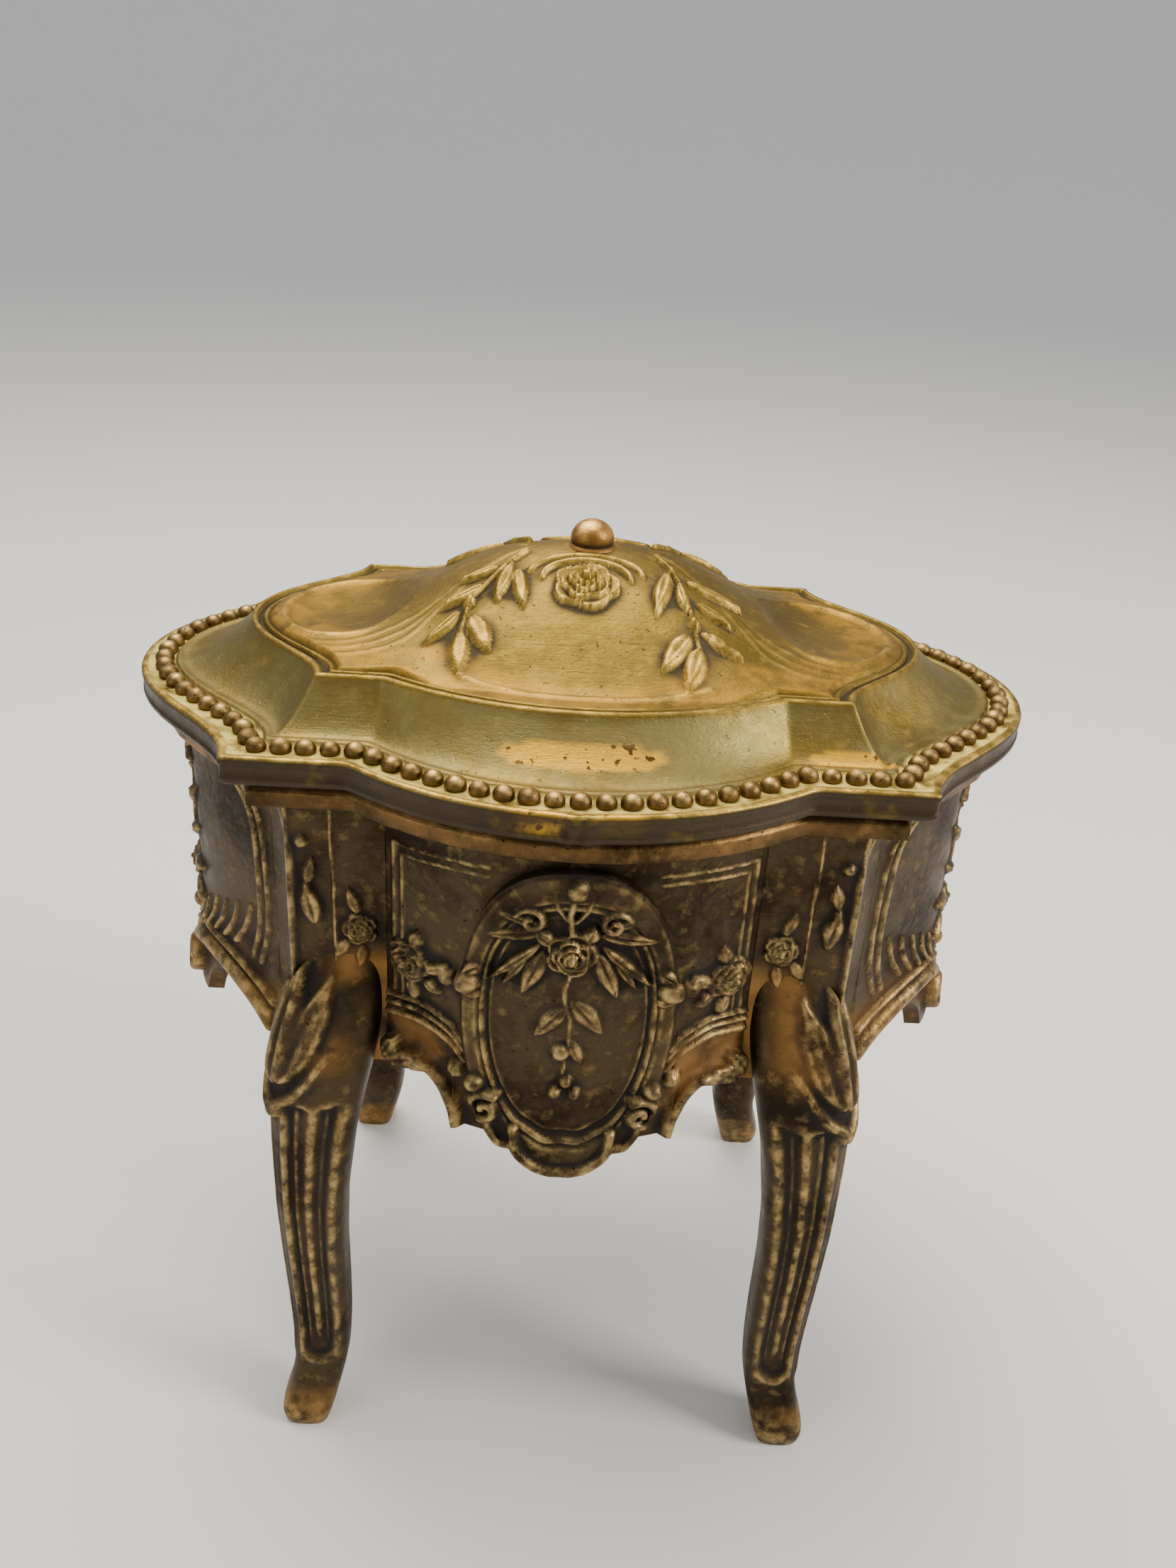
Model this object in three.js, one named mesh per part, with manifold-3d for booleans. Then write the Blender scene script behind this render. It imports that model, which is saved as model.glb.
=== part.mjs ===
// Vanity trinket box: a cast-brass casket in the form of a small serpentine table on four legs,
// with a domed, beaded lid hinged at the back. Millimetres, +Z up, the front faces -Y.
// The origin is on the surface it stands on, at the middle of the plan.
import * as THREE from "three";
import { mergeVertices } from "three/addons/utils/BufferGeometryUtils.js";
import Module from "manifold-3d";

const wasm = await Module();
wasm.setup();

// ---- Driving dimensions ----------------------------------------------------------------------
// Plans: half width x, half depth y, the corner (cx, cy), and nx where the bow of the front ends.
const LID = { x: 55, y: 38.2, cx: 39, cy: 29.3, nx: 25.2 };
const FRAME = { x: 52.6, y: 36.6, cx: 36.5, cy: 28, nx: 25 };
const WALL = { x: 50, y: 34.9, cx: 32.4, cy: 26, nx: 21.6 };
const PANEL = { x: 41.5, y: 26.5, cx: 30.4, cy: 20, nx: 22.5 };
const WALL_THICK = 1.8;

const WALL_TOP = 94.5;
const FRAME_HEIGHT = 2.6;
const LID_GAP = 0.4; // between the frame and the closed lid
const RIM_HEIGHT = 3.5;
const PANEL_RISE = 5.7; // from the top of the rim to the raised panel
const FLANGE = { depth: 1.4, thick: 1.2 };
const CHANNEL = { from: 1.4, to: 4.1, depth: 0.5 }; // seat of the beaded border
const COVE_STEP = 0.4; // the cove starts this far above the rim
const DOME = { rise: 10.4, x: 19.5, y: 20.8 }; // half height is reached at x, the foot at y
const DISH = { at: 29, x: 8, y: 9.5, depth: 0.6, ease: 0.55 };
const LID_SHELL = 1.8;

const GAP = 0.3; // between castings that meet
const FIT = 0.4; // the lid's flange inside the frame
const HOLE_FIT = 0.15; // radial, round screws and rivets
const RUNNING = 0.08; // radial, round the hinge pin

const FLOOR_THICK = 1.2;
const LEG_LEDGE = 64.5; // the floor rests on the legs here
const FOOT = { x: 32.7, y: 30, half: 3.2 };
const POST = { bottom: 59, end: 20 }; // the end walls meet the posts at this distance from the axis
const APRON = { flare: 1.3, from: 76, low: 55 };
const CARTOUCHE = { half: 11, bottom: 54.5, top: 93, edge: 0.8, rise: 0.9 };

const PIN = { y: 36.3, drop: 1.6, radius: 0.5 }; // drop is measured from the lid's underside
const BARREL_RADIUS = 1.1;
const LEAF = { half: 9, thick: 0.75, drop: 6, knuckle: 3, y0: 33.3, y1: 36, web: 1 };
const RIVET = { x: 6, radius: 0.6, head: 1.1, headHeight: 0.5, grip: 2.4 };
const SCREW = { x: 27, y: 21.6, shank: 0.8, head: 1.5, headHeight: 0.6, length: 8 };
const FINIAL = { collar: 3, collarHeight: 0.6, ball: 2.5, stem: 0.75, stemLength: 4.6 };
const NUT = { radius: 2, height: 1.4 };
const CUSHION = { margin: 1.6, height: 4.4 };

// Heights that follow from them.
const FRAME_BOTTOM = WALL_TOP + GAP;
const FRAME_TOP = FRAME_BOTTOM + FRAME_HEIGHT;
const LID_BOTTOM = FRAME_TOP + LID_GAP;
const RIM_TOP = LID_BOTTOM + RIM_HEIGHT;
const FIELD = RIM_TOP + PANEL_RISE;
const DOME_TOP = FIELD + DOME.rise;
const FLOOR_BOTTOM = LEG_LEDGE + GAP;
const FLOOR_TOP = FLOOR_BOTTOM + FLOOR_THICK;
const PIN_Z = LID_BOTTOM - PIN.drop;
const FAR = 300; // beyond every face

// ---- Plan outlines ---------------------------------------------------------------------------
const inset = (o, d) => ({ x: o.x - d, y: o.y - d, cx: o.cx - d, cy: o.cy - d, nx: o.nx - 0.4 * d });
const mix = (o, q, t) => Object.fromEntries(Object.keys(o).map((k) => [k, o[k] + (q[k] - o[k]) * t]));
const scaled = (o, s) => Object.fromEntries(Object.keys(o).map((k) => [k, o[k] * s]));

const CAVITY = inset(WALL, WALL_THICK);
const FLANGE_OUT = inset(CAVITY, FIT);
const FLANGE_IN = inset(FLANGE_OUT, FLANGE.thick);

// Distance of the bowed front from the middle at x: an arc over the two notches.
function bow(o, x) {
  const rise = o.y - o.cy;
  const radius = (o.nx ** 2 + rise ** 2) / (2 * rise);
  return o.y - radius + Math.sqrt(radius ** 2 - x ** 2);
}

// Half of an end, from the corner out to the middle, and its distance from the middle at y.
function endCurve(o) {
  return new THREE.CubicBezierCurve(
    new THREE.Vector2(o.cx, -o.cy),
    new THREE.Vector2(o.cx, -0.7 * o.cy),
    new THREE.Vector2(o.x, -0.5 * o.cy),
    new THREE.Vector2(o.x, 0),
  );
}
function end(o, y) {
  const curve = endCurve(o);
  let [low, high] = [0, 1];
  for (let i = 0; i < 30; i++) {
    const t = (low + high) / 2;
    if (curve.getPoint(t).y < -Math.abs(y)) low = t;
    else high = t;
  }
  return curve.getPoint(low).x;
}

const STEPS = { bow: 6, straight: 1, end: 6 };
// The whole outline as points, counter-clockwise from the middle of the front.
function ring(o) {
  const front = [];
  for (let i = 0; i < STEPS.bow; i++) {
    const x = (o.nx * i) / STEPS.bow;
    front.push(new THREE.Vector2(x, o.y > o.cy ? -bow(o, x) : 0));
  }
  const notch = new THREE.Vector2(o.nx, -o.cy);
  const quarter = [...front, notch, ...endCurve(o).getPoints(STEPS.end)];
  const back = quarter.slice(0, -1).reverse().map((p) => new THREE.Vector2(p.x, -p.y));
  const half = [...quarter, ...back];
  const other = half.slice(1, -1).reverse().map((p) => new THREE.Vector2(-p.x, p.y));
  return [...half, ...other];
}

// ---- Solids ----------------------------------------------------------------------------------
// A surface carried round the plan through a list of [outline, height or height function].
function loft(profile) {
  const rings = profile.map(([outline]) => ring(outline));
  const count = rings[0].length;
  const g = new THREE.LatheGeometry(profile.map((_, j) => new THREE.Vector2(1, j)), count);
  const position = g.getAttribute("position");
  for (let i = 0; i <= count; i++)
    profile.forEach(([, z], j) => {
      const p = rings[j][i % count];
      const height = typeof z === "function" ? z(p.x, p.y) : z;
      position.setXYZ(i * profile.length + j, p.x, p.y, height);
    });
  return g;
}

function prism(o, bottom, top) {
  return new THREE.ExtrudeGeometry(new THREE.Shape(ring(o)), {
    depth: top - bottom,
    bevelEnabled: false,
  }).translate(0, 0, bottom);
}

function rod(radius, from, to, sides = 12) {
  const a = new THREE.Vector3(...from);
  const b = new THREE.Vector3(...to);
  const along = b.clone().sub(a).normalize();
  const turn = new THREE.Quaternion().setFromUnitVectors(new THREE.Vector3(0, 1, 0), along);
  const middle = a.clone().add(b).multiplyScalar(0.5);
  return new THREE.CylinderGeometry(radius, radius, a.distanceTo(b), sides)
    .applyQuaternion(turn)
    .translate(middle.x, middle.y, middle.z);
}

function block([x0, x1], [y0, y1], [z0, z1]) {
  return new THREE.BoxGeometry(x1 - x0, y1 - y0, z1 - z0)
    .translate((x0 + x1) / 2, (y0 + y1) / 2, (z0 + z1) / 2);
}

function solid(geometry) {
  const bare = new THREE.BufferGeometry();
  bare.setAttribute("position", geometry.getAttribute("position"));
  if (geometry.index) bare.setIndex(geometry.index);
  const merged = mergeVertices(bare, 1e-4);
  const kept = [];
  const index = merged.index.array;
  for (let i = 0; i < index.length; i += 3) {
    const [a, b, c] = index.slice(i, i + 3);
    if (a !== b && b !== c && c !== a) kept.push(a, b, c);
  }
  return new wasm.Manifold(
    new wasm.Mesh({
      numProp: 3,
      vertProperties: merged.getAttribute("position").array,
      triVerts: new Uint32Array(kept),
    }),
  );
}

function geometryOf(manifold) {
  const mesh = manifold.getMesh();
  const g = new THREE.BufferGeometry();
  g.setAttribute("position", new THREE.BufferAttribute(new Float32Array(mesh.vertProperties), 3));
  g.setIndex(new THREE.BufferAttribute(new Uint32Array(mesh.triVerts), 1));
  g.computeVertexNormals();
  return g;
}

const join = (first, ...more) =>
  geometryOf(more.reduce((sum, g) => sum.add(solid(g)), solid(first)));
const cut = (base, ...tools) =>
  geometryOf(tools.reduce((rest, g) => rest.subtract(solid(g)), solid(base)));

// A copy mirrored left to right (x = -1) or front to back (y = -1).
function mirrored(geometry, x, y) {
  const g = geometry.clone().scale(x, y, 1);
  if (x * y > 0) return g;
  const index = g.index.array;
  for (let i = 0; i < index.length; i += 3)
    [index[i + 1], index[i + 2]] = [index[i + 2], index[i + 1]];
  return g;
}

// ---- Assembly --------------------------------------------------------------------------------
const BRASS = { color: 0x8f7440, metalness: 0.9, roughness: 0.42 };
const DARK_BRASS = { color: 0x6f5a34, metalness: 0.9, roughness: 0.5 };
const SILK = { color: 0x7a2a34, metalness: 0, roughness: 0.7 };

const box = new THREE.Group();
const body = new THREE.Group();
const lid = new THREE.Group();
box.add(body, lid);
function add(group, name, geometry, finish) {
  const mesh = new THREE.Mesh(geometry, new THREE.MeshStandardMaterial(finish));
  mesh.name = name;
  group.add(mesh);
}

// ---- Walls -----------------------------------------------------------------------------------
const WALL_STEPS = { along: 20, up: 5 };
const flare = (z) => APRON.flare * Math.max(0, (APRON.from - z) / (APRON.from - APRON.low)) ** 2;

// Lower edge of an apron at a distance from the middle: level, up into an arch, down to the leg.
function apronEdge(distance, arch) {
  if (distance > arch.top) return arch.high - arch.fall * (distance - arch.top);
  const t = Math.max(0, (distance - arch.tip) / (arch.top - arch.tip));
  return arch.low + (arch.high - arch.low) * Math.sin((Math.PI / 2) * t);
}

// A wall facing -Y, bowed in plan; outer and inner give its distance from the middle.
function wall(half, outer, inner, arch) {
  const g = new THREE.BoxGeometry(2 * half, 1, 1, WALL_STEPS.along, 1, WALL_STEPS.up);
  const position = g.getAttribute("position");
  for (let i = 0; i < position.count; i++) {
    const along = position.getX(i);
    const bottom = apronEdge(Math.abs(along), arch);
    const z = bottom + (WALL_TOP - bottom) * (position.getZ(i) + 0.5);
    const distance = position.getY(i) < 0 ? outer(along) : inner(along);
    position.setXYZ(i, along, -distance - flare(z), z);
  }
  return g;
}

const frontWall = wall(
  WALL.nx,
  (x) => bow(WALL, x),
  (x) => Math.max(bow(CAVITY, x), CAVITY.cy),
  { tip: 12.6, top: 18.6, low: 57, high: 63, fall: 0.8 },
);
const endWall = wall(
  POST.end - GAP,
  (y) => end(WALL, y),
  (y) => end(CAVITY, y),
  { tip: 8, top: 14, low: APRON.low, high: 61.5, fall: 0.5 },
);

add(body, "front_wall", join(frontWall), BRASS);
const rivetZ = PIN_Z - 0.65 * LEAF.drop;
const backRivet = (x, radius) => rod(radius, [x, CAVITY.y - 1, rivetZ], [x, FAR, rivetZ]);
const rivetHoles = [-RIVET.x, RIVET.x].map((x) => backRivet(x, RIVET.radius + HOLE_FIT));
add(body, "back_wall", cut(frontWall.clone().rotateZ(Math.PI), ...rivetHoles), BRASS);
add(body, "right_wall", join(endWall.clone().rotateZ(Math.PI / 2)), BRASS);
add(body, "left_wall", join(endWall.clone().rotateZ(-Math.PI / 2)), BRASS);

// ---- Legs, each with its corner post ---------------------------------------------------------
// Sections from the foot up: height, how far the centre stands in from the foot's, extra size.
const LEG_SECTIONS = [
  { z: 0, x: 0, y: 0, more: 0 },
  { z: 4, x: 0.7, y: 0.6, more: 0.2 },
  { z: 10, x: 1.9, y: 1.9, more: 0.6 },
  { z: 22, x: 1.75, y: 2.35, more: 0.6 },
  { z: 36, x: 1.15, y: 2.75, more: 1 },
  { z: 48, x: 1.8, y: 3.7, more: 1.9 },
  { z: 58, x: 3, y: 5.3, more: 2.9 },
  { z: 66, x: 4.9, y: 7, more: 2.4 },
  { z: 75, x: 6.2, y: 8.6, more: 1.4 },
  { z: 82, x: 6.8, y: 9.6, more: 0 },
];
const LEG_SIDES = 12;
const SQUARENESS = 4; // exponent of the rounded square section

function legLoft() {
  const spans = LEG_SECTIONS.length - 1;
  const g = new THREE.CylinderGeometry(1, 1, spans, LEG_SIDES, spans).rotateX(Math.PI / 2);
  const position = g.getAttribute("position");
  for (let i = 0; i < position.count; i++) {
    const section = LEG_SECTIONS[Math.round(position.getZ(i) + spans / 2)];
    const angle = Math.atan2(position.getY(i), position.getX(i)) + Math.PI / LEG_SIDES;
    const [c, s] = [Math.cos(angle), Math.sin(angle)];
    const square = (Math.abs(c) ** SQUARENESS + Math.abs(s) ** SQUARENESS) ** (-1 / SQUARENESS);
    const rim = Math.round(Math.hypot(position.getX(i), position.getY(i)));
    const reach = rim * (FOOT.half + section.more) * square;
    const [x, y] = [FOOT.x - section.x, FOOT.y - section.y];
    position.setXYZ(i, x + reach * c, -y + reach * s, section.z);
  }
  return g;
}

function postBlock() {
  const inner = WALL.nx + GAP;
  const face = [WALL.cy, 0.92 * WALL.cy, 0.85 * WALL.cy, POST.end];
  const corner = face.map((y) => new THREE.Vector2(end(WALL, y), -y));
  const plan = [new THREE.Vector2(inner, -WALL.cy), ...corner, new THREE.Vector2(inner, -POST.end)];
  return new THREE.ExtrudeGeometry(new THREE.Shape(plan), {
    depth: WALL_TOP - POST.bottom,
    bevelEnabled: false,
  }).translate(0, 0, POST.bottom);
}

const screwHole = rod(
  SCREW.shank + HOLE_FIT,
  [SCREW.x, -SCREW.y, FLOOR_TOP - SCREW.length - GAP],
  [SCREW.x, -SCREW.y, FAR],
);
const leg = cut(
  join(legLoft(), postBlock()),
  prism(CAVITY, LEG_LEDGE, FAR),
  block([0, WALL.nx + GAP], [-FAR, 0], [APRON.low - GAP, FAR]),
  block([0, FAR], [-POST.end, 0], [APRON.low - GAP, FAR]),
  screwHole,
);
for (const [side, x] of [["left", -1], ["right", 1]])
  for (const [face, y] of [["front", 1], ["back", -1]])
    add(body, `leg_${face}_${side}`, mirrored(leg, x, y), BRASS);

// ---- Floor -----------------------------------------------------------------------------------
const corners = [[-1, -1], [1, -1], [1, 1], [-1, 1]].map(([x, y]) => [x * SCREW.x, y * SCREW.y]);
const floorHoles = corners.map(([x, y]) => rod(SCREW.shank + HOLE_FIT, [x, y, 0], [x, y, FAR]));
const floor = prism(inset(CAVITY, GAP), FLOOR_BOTTOM, FLOOR_TOP);
add(body, "floor_plate", cut(floor, ...floorHoles), DARK_BRASS);
corners.forEach(([x, y], i) => {
  const headAt = FLOOR_TOP + HOLE_FIT;
  const shank = rod(SCREW.shank, [x, y, FLOOR_TOP - SCREW.length], [x, y, headAt]);
  const head = rod(SCREW.head, [x, y, headAt], [x, y, headAt + SCREW.headHeight]);
  add(body, `floor_screw_${i + 1}`, join(shank, head), DARK_BRASS);
});
const cushionAt = FLOOR_TOP + HOLE_FIT + SCREW.headHeight + GAP;
add(
  body,
  "floor_cushion",
  join(prism(inset(CAVITY, CUSHION.margin), cushionAt, cushionAt + CUSHION.height)),
  SILK,
);

// ---- Cartouche plaque on the front -----------------------------------------------------------
// A square grid drawn into an oval, laid against the bowed wall and domed outward.
function plaque() {
  const g = new THREE.BoxGeometry(2, 1, 2, 10, 1, 12);
  const position = g.getAttribute("position");
  const middle = (CARTOUCHE.top + CARTOUCHE.bottom) / 2;
  const halfHeight = (CARTOUCHE.top - CARTOUCHE.bottom) / 2;
  for (let i = 0; i < position.count; i++) {
    const [u, side, v] = [position.getX(i), position.getY(i), position.getZ(i)];
    const [across, up] = [u * Math.sqrt(1 - v ** 2 / 2), v * Math.sqrt(1 - u ** 2 / 2)];
    const [x, z] = [CARTOUCHE.half * across, middle + halfHeight * up];
    const thick = CARTOUCHE.edge + CARTOUCHE.rise * (1 - across ** 2 - up ** 2);
    position.setXYZ(i, x, -bow(WALL, x) - flare(z) - GAP - (side < 0 ? thick : 0), z);
  }
  return g;
}
add(body, "front_cartouche", join(plaque()), BRASS);

// ---- Rim frame, closing the top of the walls -------------------------------------------------
const hingeNotch = block(
  [-LEAF.half - FIT, LEAF.half + FIT],
  [PIN.y - BARREL_RADIUS - FIT, FAR],
  [0, FAR],
);
const frame = loft([
  [CAVITY, FRAME_BOTTOM],
  [FRAME, FRAME_BOTTOM],
  [FRAME, FRAME_TOP - 0.9],
  [inset(FRAME, 0.9), FRAME_TOP],
  [CAVITY, FRAME_TOP],
  [CAVITY, FRAME_BOTTOM],
]);
add(body, "rim_frame", cut(frame, hingeNotch), BRASS);

// ---- Lid -------------------------------------------------------------------------------------
// Height of the raised panel's field: the dome in the middle and an oval dish on either side.
function field(x, y) {
  const across = 1 / (1 + (Math.abs(x) / DOME.x) ** 4);
  const dome = DOME.rise * across * Math.max(0, 1 - (Math.abs(y) / DOME.y) ** 1.8);
  const bowl = Math.max(0, 1 - ((Math.abs(x) - DISH.at) / DISH.x) ** 2 - (y / DISH.y) ** 2);
  return FIELD + dome * (1 - DISH.ease * bowl) - DISH.depth * bowl;
}
const under = (x, y) => field(x, y) - LID_SHELL;

const COVE_FOOT = inset(LID, CHANNEL.to + 0.3);
const coveHeight = (t) => RIM_TOP + COVE_STEP + (PANEL_RISE - COVE_STEP) * t ** 1.5;
const EDGE_BEVEL = 0.6;
const RIDGE = { inset: 0.5, width: 1.3, height: 0.4 }; // moulding round the raised panel
const lidProfile = [
  ...[0, 0.15, 0.3, 0.45, 0.6, 0.75, 0.88].map((s) => [scaled(PANEL, s), under]),
  [mix(PANEL, FLANGE_IN, 0.5), FIELD - 2 * LID_SHELL],
  [FLANGE_IN, LID_BOTTOM],
  [FLANGE_IN, LID_BOTTOM - FLANGE.depth],
  [FLANGE_OUT, LID_BOTTOM - FLANGE.depth],
  [FLANGE_OUT, LID_BOTTOM],
  [inset(LID, EDGE_BEVEL), LID_BOTTOM],
  [LID, LID_BOTTOM + EDGE_BEVEL],
  [LID, RIM_TOP - EDGE_BEVEL],
  [inset(LID, EDGE_BEVEL), RIM_TOP],
  [inset(LID, CHANNEL.from), RIM_TOP],
  [inset(LID, CHANNEL.from), RIM_TOP - CHANNEL.depth],
  [inset(LID, CHANNEL.to), RIM_TOP - CHANNEL.depth],
  [inset(LID, CHANNEL.to), RIM_TOP + COVE_STEP],
  ...[0, 0.35, 0.7].map((t) => [mix(COVE_FOOT, PANEL, t), coveHeight(t)]),
  [PANEL, FIELD],
  [inset(PANEL, RIDGE.inset), FIELD + RIDGE.height],
  [inset(PANEL, RIDGE.inset + RIDGE.width), FIELD + RIDGE.height],
  [inset(PANEL, 2 * RIDGE.inset + RIDGE.width), FIELD],
  ...[0.86, 0.78, 0.7, 0.62, 0.54, 0.45, 0.35, 0.25, 0.15, 0].map((s) => [scaled(PANEL, s), field]),
];

// Recess under the lid for a hinge leaf of this half length that reaches back to y1.
const leafRoom = (half, y1) =>
  block([-half - GAP, half + GAP], [LEAF.y0 - GAP, y1 + GAP], [0, LID_BOTTOM + LEAF.thick + GAP]);
const webBack = PIN.y + LEAF.web / 2;
const leafRooms = [leafRoom(LEAF.half, LEAF.y1), leafRoom(LEAF.knuckle, webBack)];
const leafRivetY = (LEAF.y0 + LEAF.y1) / 2;
const lidRivet = (x, radius, bottom, top) => rod(radius, [x, leafRivetY, bottom], [x, leafRivetY, top]);
const lidRivetHoles = [-RIVET.x, RIVET.x].map((x) =>
  lidRivet(x, RIVET.radius + HOLE_FIT, 0, LID_BOTTOM + RIVET.grip + HOLE_FIT),
);
const stemHole = rod(FINIAL.stem + HOLE_FIT, [0, 0, FIELD], [0, 0, FAR]);
add(lid, "lid_shell", cut(loft(lidProfile), ...leafRooms, ...lidRivetHoles, stemHole), BRASS);

const BEAD_HEIGHT = 1.7;
const beadOuter = inset(LID, CHANNEL.from + GAP);
const beadInner = inset(LID, CHANNEL.to - GAP);
const beadSeat = RIM_TOP - CHANNEL.depth + GAP;
const beadRing = [0, 0.25, 0.5, 0.75, 1].map((t) => {
  const crown = 0.3 + 0.7 * Math.sin(Math.PI * t);
  return [mix(beadOuter, beadInner, t), beadSeat + BEAD_HEIGHT * crown];
});
add(
  lid,
  "bead_border",
  join(loft([[beadInner, beadSeat], [beadOuter, beadSeat], ...beadRing, [beadInner, beadSeat]])),
  BRASS,
);

// ---- Finial and its nut ----------------------------------------------------------------------
const finialAt = DOME_TOP + GAP;
const centre = FINIAL.collarHeight / 2; // of the ball, above the seat
const finialProfile = [
  [0, -FINIAL.stemLength],
  [FINIAL.stem, -FINIAL.stemLength],
  [FINIAL.stem, 0],
  [FINIAL.collar, 0],
  [FINIAL.collar, FINIAL.collarHeight / 2],
  [0.8 * FINIAL.collar, FINIAL.collarHeight],
];
const BALL_STEPS = 8;
for (let i = 1; i <= BALL_STEPS; i++) {
  const angle = (i / BALL_STEPS) * (Math.PI / 2);
  const r = i === BALL_STEPS ? 0 : FINIAL.ball * Math.cos(angle);
  finialProfile.push([r, centre + 1.2 * FINIAL.ball * Math.sin(angle)]);
}
const turned = (profile, sides) =>
  new THREE.LatheGeometry(profile.map(([r, z]) => new THREE.Vector2(r, z)), sides).rotateX(Math.PI / 2);
add(lid, "finial", join(turned(finialProfile, 20).translate(0, 0, finialAt)), BRASS);
const nutTop = DOME_TOP - LID_SHELL - 1.5 * GAP; // clear of the falling underside
const nut = rod(NUT.radius, [0, 0, nutTop - NUT.height], [0, 0, nutTop], 6);
add(lid, "finial_nut", cut(nut, rod(FINIAL.stem + HOLE_FIT, [0, 0, 0], [0, 0, FAR])), DARK_BRASS);

// ---- Hinge -----------------------------------------------------------------------------------
const barrel = (x0, x1, radius) => rod(radius, [x0, PIN.y, PIN_Z], [x1, PIN.y, PIN_Z], 16);
const pinHole = barrel(-FAR, FAR, PIN.radius + RUNNING);
const leafFace = PIN.y - BARREL_RADIUS;
const fixedLeaf = join(
  block([-LEAF.half, LEAF.half], [leafFace, leafFace + LEAF.thick], [PIN_Z - LEAF.drop, PIN_Z]),
  barrel(-LEAF.half, -LEAF.knuckle - GAP, BARREL_RADIUS),
  barrel(LEAF.knuckle + GAP, LEAF.half, BARREL_RADIUS),
);
const knuckleRoom = block(
  [-LEAF.knuckle - GAP, LEAF.knuckle + GAP],
  [0, FAR],
  [PIN_Z - BARREL_RADIUS - FIT, FAR],
);
add(body, "hinge_body_leaf", cut(fixedLeaf, knuckleRoom, pinHole, ...rivetHoles), BRASS);
add(body, "hinge_pin", join(barrel(-LEAF.half - 0.6, LEAF.half + 0.6, PIN.radius)), DARK_BRASS);

const leafTop = LID_BOTTOM + LEAF.thick;
const web = block([-LEAF.knuckle, LEAF.knuckle], [webBack - LEAF.web, webBack], [PIN_Z, leafTop]);
const movingLeaf = join(
  block([-LEAF.half, LEAF.half], [LEAF.y0, LEAF.y1], [LID_BOTTOM, leafTop]),
  web,
  barrel(-LEAF.knuckle, LEAF.knuckle, BARREL_RADIUS),
);
add(lid, "hinge_lid_leaf", cut(movingLeaf, pinHole, ...lidRivetHoles), BRASS);

for (const [side, x] of [["left", -RIVET.x], ["right", RIVET.x]]) {
  const headAt = leafFace + LEAF.thick + HOLE_FIT;
  const shank = rod(RIVET.radius, [x, bow(CAVITY, x) - HOLE_FIT, rivetZ], [x, headAt, rivetZ]);
  const head = rod(RIVET.head, [x, headAt, rivetZ], [x, headAt + RIVET.headHeight, rivetZ]);
  add(body, `wall_rivet_${side}`, join(shank, head), DARK_BRASS);
  const flush = lidRivet(x, RIVET.radius, LID_BOTTOM, LID_BOTTOM + RIVET.grip);
  add(lid, `lid_rivet_${side}`, join(flush), DARK_BRASS);
}

export default box;
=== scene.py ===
"""The looks of the vanity trinket box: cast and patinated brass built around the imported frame."""
import math

import bmesh
import bpy
import numpy as np
from mathutils import Matrix, Vector


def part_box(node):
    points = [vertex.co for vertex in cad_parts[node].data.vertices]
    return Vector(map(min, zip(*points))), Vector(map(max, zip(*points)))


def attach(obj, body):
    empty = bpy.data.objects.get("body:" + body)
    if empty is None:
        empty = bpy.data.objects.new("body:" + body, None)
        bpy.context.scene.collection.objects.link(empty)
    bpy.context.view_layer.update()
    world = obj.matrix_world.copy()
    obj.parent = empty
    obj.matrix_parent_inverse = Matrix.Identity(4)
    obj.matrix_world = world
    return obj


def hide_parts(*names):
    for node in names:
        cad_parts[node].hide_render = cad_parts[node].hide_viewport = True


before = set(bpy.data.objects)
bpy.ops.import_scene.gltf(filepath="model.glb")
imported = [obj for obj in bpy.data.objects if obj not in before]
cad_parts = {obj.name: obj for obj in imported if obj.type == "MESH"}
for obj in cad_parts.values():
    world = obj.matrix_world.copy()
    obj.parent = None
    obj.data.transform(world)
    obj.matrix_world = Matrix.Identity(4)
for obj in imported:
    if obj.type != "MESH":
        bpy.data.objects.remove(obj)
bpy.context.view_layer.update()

bl_info = {
    "name": "Vanity Trinket Box",
    "version": (1, 0, 0),
    "blender": (4, 5, 0),
    "location": "View3D > Sidebar > Trinket Box",
    "description": "Cast relief, beads, cushion and brass finishes for a trinket box",
    "category": "Object",
}

MM = 0.001

# ---- Sizes shared with the frame, in millimetres --------------------------------------------
LID = dict(x=55, y=38.2, cx=39, cy=29.3, nx=25.2)
WALL = dict(x=50, y=34.9, cx=32.4, cy=26, nx=21.6)
PANEL = dict(x=41.5, y=26.5, cx=30.4, cy=20, nx=22.5)
WALL_THICK = 1.8
GAP = 0.3
WALL_TOP = 94.5
FRAME_BOTTOM = WALL_TOP + GAP
FRAME_TOP = FRAME_BOTTOM + 2.6
LID_BOTTOM = FRAME_TOP + 0.4
RIM_TOP = LID_BOTTOM + 3.5
FIELD = RIM_TOP + 5.7
DOME = dict(rise=10.4, x=19.5, y=20.8)
DISH = dict(at=29, x=8, y=9.5, depth=0.5, ease=0.4)
LID_SHELL = 1.8
POST_END = 20.0
POST_BOTTOM = 59.0
POST_THICK = 1.6
LEG_TOP = 82
CARTOUCHE = dict(x=11.9, up=19.9, middle=73.4)
BEAD_LINE = 2.75  # in from the lid's edge

# ---- The cushion's cloth, worked at ten times its size, in metres of that size ----------------
CLOTH_SCALE = 10
CLOTH_VOXEL = 0.0125
CLOTH_REACH = 0.008
CLOTH_FRAMES = 20

# ---- The stage, in metres ---------------------------------------------------------------------
STAGE_CURVE = 0.9
STAGE_HEIGHT = 2.2


def inset(o, d):
    return dict(x=o["x"] - d, y=o["y"] - d, cx=o["cx"] - d, cy=o["cy"] - d, nx=o["nx"] - 0.4 * d)


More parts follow.
